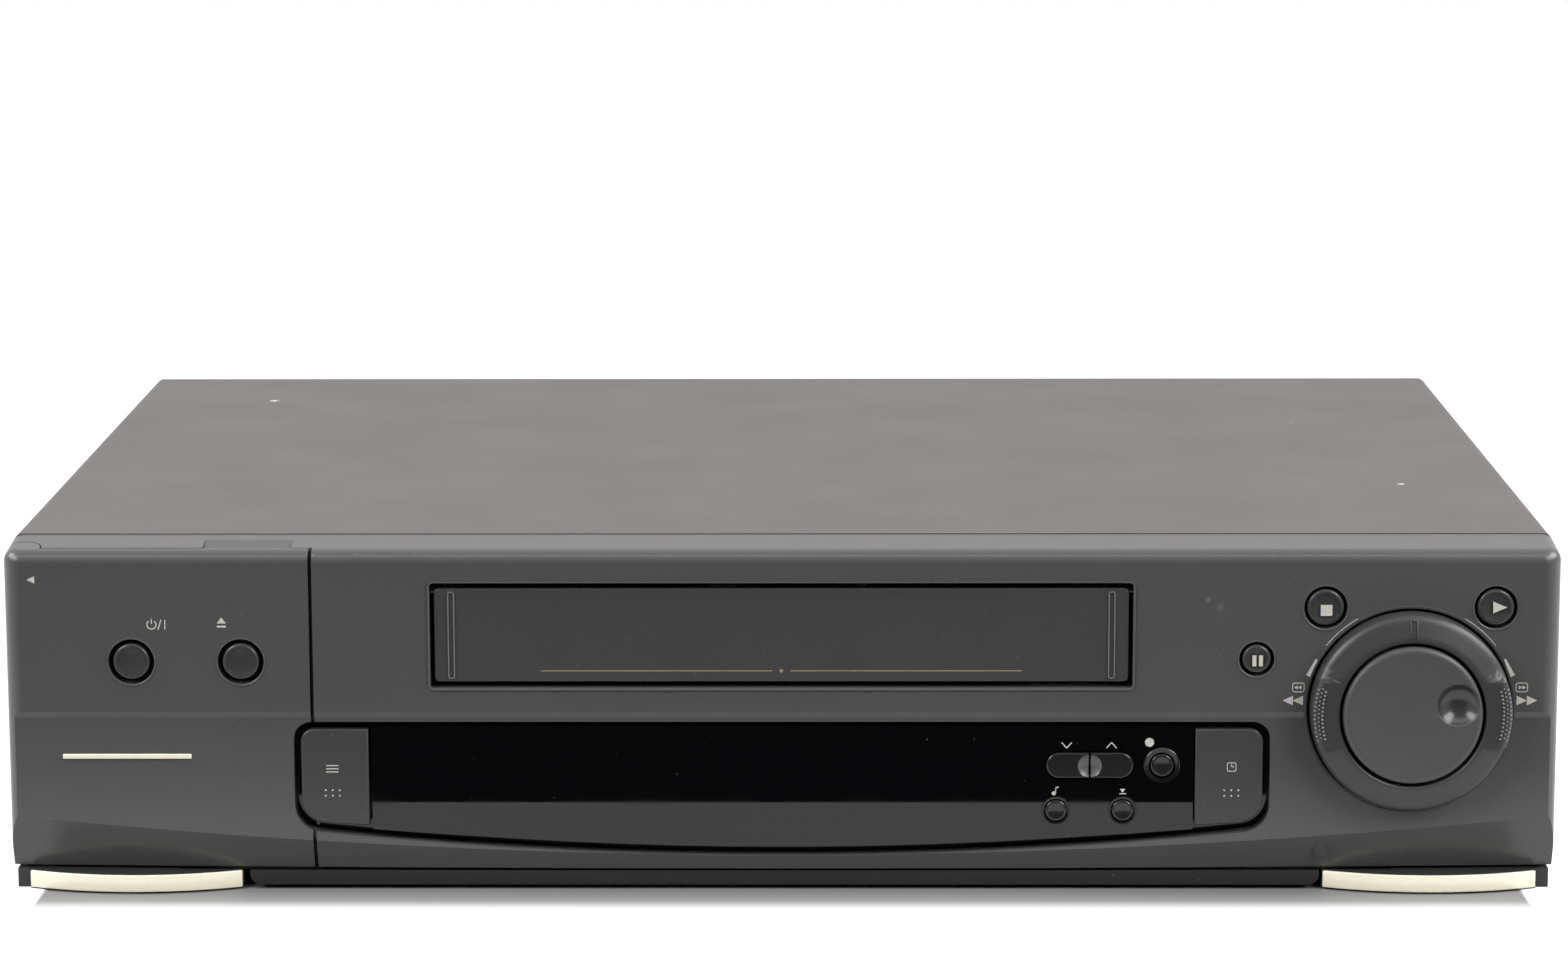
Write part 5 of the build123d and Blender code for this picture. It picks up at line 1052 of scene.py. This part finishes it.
class RECORDER_OT_marks(bpy.types.Operator):
    """Print the plain symbols on the front, the keys and the flap, lay painted highlight lines on
    the flap's beads, and lay on the badge
    """

    bl_idname = "recorder.marks"
    bl_label = "Printed Marks"

    def execute(self, context):
        printed("marks_door", "av_door", 0.0, "marks", [
            (arrow, -206.7, 88.8, 2.2, 2.0, LEFT),
            (arc, -173.9, 76.2, 1.25, 0.3, 125, 55), (bar, -173.9, 77.1, 0.3, 1.5),
            (bar, -171.7, 76.2, 0.3, 3.0, -0.3), (bar, -170.2, 76.2, 0.3, 2.6),
            (arrow, -154.6, 77.1, 1.7, 2.6, UP), (bar, -154.6, 75.65, 2.6, 0.5),
        ])
        for key, shapes in (
                ("stop", [(bar, 150.2, 80.1, 3.2, 3.1)]),
                ("play", [(arrow, 197.3, 80.9, 3.9, 3.3, RIGHT)]),
                ("pause", [(bar, 130.55, 65.9, 1.1, 3.1), (bar, 132.35, 65.9, 1.1, 3.1)])):
            printed(f"mark_{key}", f"key_{key}", 0.08, "marks", shapes)
        shapes = []
        for side, turn in ((-1, LEFT), (1, RIGHT)):
            shapes += [
                (arrow, DIAL_X + side * 33.2, 54.7, 2.8, 2.7, turn),
                (arrow, DIAL_X + side * 30.4, 54.7, 2.8, 2.7, turn),
                (box_line, DIAL_X + side * 30.8, 58.4, 3.4, 2.7, 0.7, 0.22),
                (arrow, DIAL_X + side * 31.3, 58.4, 0.95, 1.1, turn),
                (arrow, DIAL_X + side * 30.3, 58.4, 0.95, 1.1, turn),
            ]
        shapes += [(arc, DIAL_X, DIAL_Z, 29.5, 0.18, *span) for span in ((34, 61), (119, 146))]
        shapes += [(wedge, 146.6, 64.0, 5.3, 0.55, 1.35, -0.44),
                   (wedge, 200.7, 64.0, 5.3, 0.55, 1.35, 0.44)]
        printed("marks_shuttle", "chassis", 0.0, "marks", shapes)
        printed("marks_window", "chassis", WINDOW_DEPTH, "marks", [
            (bar, 78.35, 41.7, 2.1, 0.3, -0.85), (bar, 79.75, 41.7, 2.1, 0.3, 0.85),
            (bar, 90.8, 41.7, 2.1, 0.3, 0.85), (bar, 92.2, 41.7, 2.1, 0.3, -0.85),
            (dot, 102.0, 42.5, 1.25),
            (dot, 75.6, 28.0, 0.55), (bar, 76.1, 28.9, 0.22, 1.9),
            (bar, 76.5, 29.7, 0.9, 0.35, 0.4),
            (arrow, 94.7, 28.9, 1.1, 1.5, DOWN), (bar, 94.7, 27.9, 1.9, 0.28),
        ])
        lines = [(bar, -SIDE_KEY_X, z, 3.4, 0.28) for z in (36.0, 35.1, 34.2)]
        clock = [(box_line, SIDE_KEY_X, 35.6, 2.6, 2.6, 0.4, 0.22),
                 (bar, SIDE_KEY_X, 36.1, 0.22, 0.9), (bar, SIDE_KEY_X + 0.35, 35.65, 0.7, 0.22)]
        for name, body, side, symbol in (("marks_left_key", "key_menu", -1, lines),
                                         ("marks_right_key", "key_timer", 1, clock)):
            dots = [(dot, side * SIDE_KEY_X + column * 1.95, z, 0.26, 12)
                    for column in (-1, 0, 1) for z in (29.0, 27.4)]
            printed(name, body, SIDE_KEY_DEPTH, "marks", dots + symbol)
        printed("marks_flap", "cassette_flap", FLAP_DEPTH, "gold_print", [
            (bar, -34.5, 62.9, 64.0, 0.25), (bar, 34.5, 62.9, 64.0, 0.25), (dot, 0.0, 62.9, 0.5),
        ], "gold_trim")
        # Painted highlight: light lines along the edges of the flap's beads.
        printed("flap_bead_edges", "cassette_flap", 0.72, "teeth", [
            (box_line, side * BEAD_X, 73.0, 1.9, 24.6, 0.9, 0.3) for side in (-1, 1)
        ], "bezel_plastic")
        # The badge takes the trims' finish, so its pale colour is partly painted reflection too.
        badge = slab((-199.6, FRONT + 0.35, 38.0), (-163.8, FRONT + 1.2, 39.4), 0.3)
        settle(badge, "door_badge", "gold", "av_door", "gold_trim")
        return {"FINISHED"}


class RECORDER_OT_rear(bpy.types.Operator):
    """Model the cover screws and the sockets' small pieces"""

    bl_idname = "recorder.rear"
    bl_label = "Rear"

    def execute(self, context):
        self.add_screws()
        self.add_insulators()
        self.add_contacts()
        return {"FINISHED"}

    def add_screws(self):
        """Pan-head screws with a cross recess, one copied."""
        high = box("cover_screws")[1]
        head = turned(0, 0, [
            (1.42, 3.0), (1.42, 0), (3.6, 0), (3.6, -0.5), (3.3, -1.05), (2.7, -1.4),
            (1.8, -1.55), (0.3, -1.6)], 32)
        for width, height in ((3.4, 0.8), (0.8, 3.4)):
            cut(head, slab((-width / 2, -1.8, -height / 2), (width / 2, -0.7, height / 2)))
        smooth(30)
        places = [(side * (high.x - 1.6), FRONT + depth, 16.0, side * pi / 2)
                  for side in (-1, 1) for depth in (70.0, 250.0)]
        places += [(x, high.y - 1.6, 86.5, pi) for x in (-200.0, 0.0, 200.0)]
        settle(join(copies(head, places)), "cover_screw_heads", "black_screw", "chassis",
               "screw_black", "cover_screws")

    def add_insulators(self):
        """Coloured insulating rings in the phono sockets, one copied for each row."""
        rear, front = box("rear_jacks")[1].y, box("front_jacks")[0].y
        for row, tip, inward, z, sockets in (
                ("rear", rear, -1, 30.0,
                 ((36.0, "yellow"), (52.0, "yellow"), (68.0, "white"), (84.0, "red"))),
                ("front", front, 1, 33.6,
                 ((-190.0, "yellow"), (-171.0, "white"), (-152.0, "red")))):
            ring = turned(0, 0, [(radius, tip + inward * depth) for radius, depth in (
                (1.7, 3.0), (1.7, 0.3), (1.9, -0.02), (3.1, -0.02), (3.2, 0.4), (3.2, 3.0),
                (1.7, 3.0))], 48, closed=True)
            rings = copies(ring, [(x, 0, z) for x, finish in sockets])
            for piece, (x, finish) in zip(rings, sockets):
                settle(piece, f"{row}_insulator_{int(abs(x))}", finish, "chassis", "white_plastic")

    def add_contacts(self):
        """Contact strips inside the two wide sockets, one copied."""
        back = box("scart_sockets")[1].y
        blade = slab((-0.8, -10.9, -0.25), (0.8, -2.0, 0.25), 0.1, 1)
        places = [(middle - 17.1 + 3.8 * index + 0.95 * row, back, 30.0 + row * 3.2)
                  for middle in (-88.0, -24.0) for row in (-1, 1) for index in range(10)]
        blades = join(copies(blade, places))
        settle(blades, "wide_socket_contacts", "nickel", "chassis", "socket_metal")


class RECORDER_OT_stage(bpy.types.Operator):
    """Set up the floor, the lights and the camera"""

    bl_idname = "recorder.stage"
    bl_label = "Stage"

    def execute(self, context):
        self.add_floor()
        self.add_world(context.scene)
        self.add_lamp("overhead", (0, -800, 1300), (0, -100, 50), 1800, 500, 6.0)
        self.add_lamp("side_left", (-1150, -650, 950), (0, -500, 100), 1900, 700, 30.0)
        self.add_lamp("side_right", (1150, -650, 950), (0, -500, 100), 1900, 700, 34.0)
        self.add_camera(context.scene)
        context.scene.view_settings.view_transform = "Standard"
        return {"FINISHED"}

    def add_floor(self):
        """Pale table top, white to the camera and mirrors away from the recorder's shadow, and
        darker in colour next to the recorder as painted shadow.
        """
        clear_selection()
        bpy.ops.mesh.primitive_grid_add(x_subdivisions=24, y_subdivisions=24, size=1)
        floor = active()
        floor.name = "floor"
        left, right, near_end, far_end = -1300, 1300, -251, 1200
        floor.location = mm((left + right) / 2, (near_end + far_end) / 2, 0)
        apply_place(right - left, far_end - near_end, 1)
        new = Finish("pale_floor")
        clouds = new.remap(new.noise(400), 0.3, 0.7)
        new.shader.inputs["Roughness"].default_value = 0.6
        new.shader.inputs["Specular IOR Level"].default_value = 0.2
        ray = new.add("LightPath").outputs
        seen = new.sums("MAXIMUM", ray["Is Camera Ray"], ray["Is Glossy Ray"])
        seen = new.sums("MAXIMUM", seen, ray["Is Transmission Ray"])
        along = new.split(new.place)
        beside = new.sums("SUBTRACT", new.sums("ABSOLUTE", along["X"]), 205 * MM)
        before = new.sums("SUBTRACT", new.sums("ABSOLUTE", along["Y"]), 150 * MM)
        away = new.sums("MAXIMUM", new.sums("MULTIPLY", beside, 12.0), before)
        near = new.remap(away, *mm(0, 9), 0.0, 0.12)
        # Painted shadow: the table's colour is darker within a few centimetres of the recorder.
        dark = new.blend(clouds, (0.19, 0.19, 0.19), (0.21, 0.21, 0.21))
        pale = new.blend(clouds, (0.29, 0.29, 0.29), (0.32, 0.32, 0.32))
        base = new.blend(new.remap(away, *mm(10, 35)), dark, pale)
        new.link(base, new.shader.inputs["Base Color"])
        lift = new.sums("ADD", near, new.remap(away, *mm(9, 20), 0.0, 0.78))
        new.shader.inputs["Emission Color"].default_value = (1, 1, 1, 1)
        new.link(new.sums("MULTIPLY", seen, lift), new.shader.inputs["Emission Strength"])
        floor.data.materials.append(new.made)

    def add_world(self, scene):
        """White surroundings that fall off for mirrors towards the dark side of the room."""
        world = bpy.data.worlds.new("studio")
        world.use_nodes = True
        new = Wiring(world.node_tree)
        back = new.tree.nodes["Background"]
        ray = new.add("LightPath").outputs
        along = new.split(new.add("TexCoord").outputs["Generated"])
        mirrored = new.sums("MAXIMUM", ray["Is Glossy Ray"], ray["Is Transmission Ray"])
        behind = new.remap(along["Y"], -0.1, 0.25, 0.05, 1.0)
        beside = new.remap(new.sums("ABSOLUTE", along["X"]), 0.40, 0.75, 0.0, 0.7)
        mirrored = new.sums("MULTIPLY", mirrored, new.sums("MAXIMUM", behind, beside))
        seen = new.sums("MAXIMUM", ray["Is Camera Ray"], mirrored)
        new.link(new.sums("MAXIMUM", seen, 0.05), back.inputs["Strength"])
        tint = new.blend(ray["Is Camera Ray"], (1.0, 0.965, 0.955), (1.0, 1.0, 1.0))
        new.link(tint, back.inputs["Color"])
        scene.world = world

    def add_lamp(self, name, place, target, width, height, power):
        """Softbox aimed at a point."""
        data = bpy.data.lights.new(name, "AREA")
        data.shape = "RECTANGLE"
        data.size, data.size_y, data.energy = width * MM, height * MM, power
        lamp = bpy.data.objects.new(name, data)
        lamp.location = mm(*place)
        ahead = Vector(target) - Vector(place)
        lamp.rotation_euler = ahead.to_track_quat("-Z", "Y").to_euler()
        bpy.context.scene.collection.objects.link(lamp)

    def add_camera(self, scene):
        """Long lens in front of the recorder, looking a little down."""
        data = bpy.data.cameras.new("camera")
        data.lens, data.sensor_width, data.clip_end = 107.3, 36.0, 100.0
        pitch, yaw, roll = radians(10.13), radians(0.56), radians(-0.13)
        ahead = Vector((-sin(yaw) * cos(pitch), cos(yaw) * cos(pitch), -sin(pitch)))
        right = Vector((cos(yaw), sin(yaw), 0))
        up = right.cross(ahead)
        side, top = cos(roll) * right + sin(roll) * up, cos(roll) * up - sin(roll) * right
        turn = Matrix((side, top, -ahead)).transposed().to_4x4()
        camera = bpy.data.objects.new("camera", data)
        camera.matrix_world = Matrix.Translation(mm(13.2, -1412.2, 339.4)) @ turn
        scene.collection.objects.link(camera)
        scene.camera = camera


class RECORDER_PT_panel(bpy.types.Panel):
    """Recorder's pieces, sizes and colours"""

    bl_idname = "RECORDER_PT_panel"
    bl_label = "Recorder"
    bl_space_type = "VIEW_3D"
    bl_region_type = "UI"
    bl_category = "Recorder"

    def draw(self, context):
        for group in (context.scene.recorder_sizes, context.scene.recorder_colours):
            column = self.layout.column()
            for name in group.__annotations__:
                column.prop(group, name)
        for operator in OPERATORS:
            self.layout.operator(operator.bl_idname)


OPERATORS = (
    RECORDER_OT_case, RECORDER_OT_inside, RECORDER_OT_round_keys, RECORDER_OT_tall_keys,
    RECORDER_OT_channel_keys, RECORDER_OT_foot_trims, RECORDER_OT_flap, RECORDER_OT_shuttle_ring,
    RECORDER_OT_jog_dial, RECORDER_OT_hole_lips, RECORDER_OT_marks, RECORDER_OT_rear,
    RECORDER_OT_stage,
)
CLASSES = (RecorderSizes, RecorderColours, *OPERATORS, RECORDER_PT_panel)


def register():
    for item in CLASSES:
        bpy.utils.register_class(item)
    bpy.types.Scene.recorder_sizes = PointerProperty(type=RecorderSizes)
    bpy.types.Scene.recorder_colours = PointerProperty(type=RecorderColours)


def unregister():
    del bpy.types.Scene.recorder_colours
    del bpy.types.Scene.recorder_sizes
    for item in reversed(CLASSES):
        bpy.utils.unregister_class(item)


def main():
    """Makes every piece in order."""
    register()
    bpy.ops.recorder.case()
    bpy.ops.recorder.inside()
    bpy.ops.recorder.round_keys()
    bpy.ops.recorder.tall_keys()
    bpy.ops.recorder.channel_keys()
    bpy.ops.recorder.foot_trims()
    bpy.ops.recorder.flap()
    bpy.ops.recorder.shuttle_ring()
    bpy.ops.recorder.jog_dial()
    bpy.ops.recorder.hole_lips()
    bpy.ops.recorder.marks()
    bpy.ops.recorder.rear()
    bpy.ops.recorder.stage()


if __name__ == "__main__":
    main()
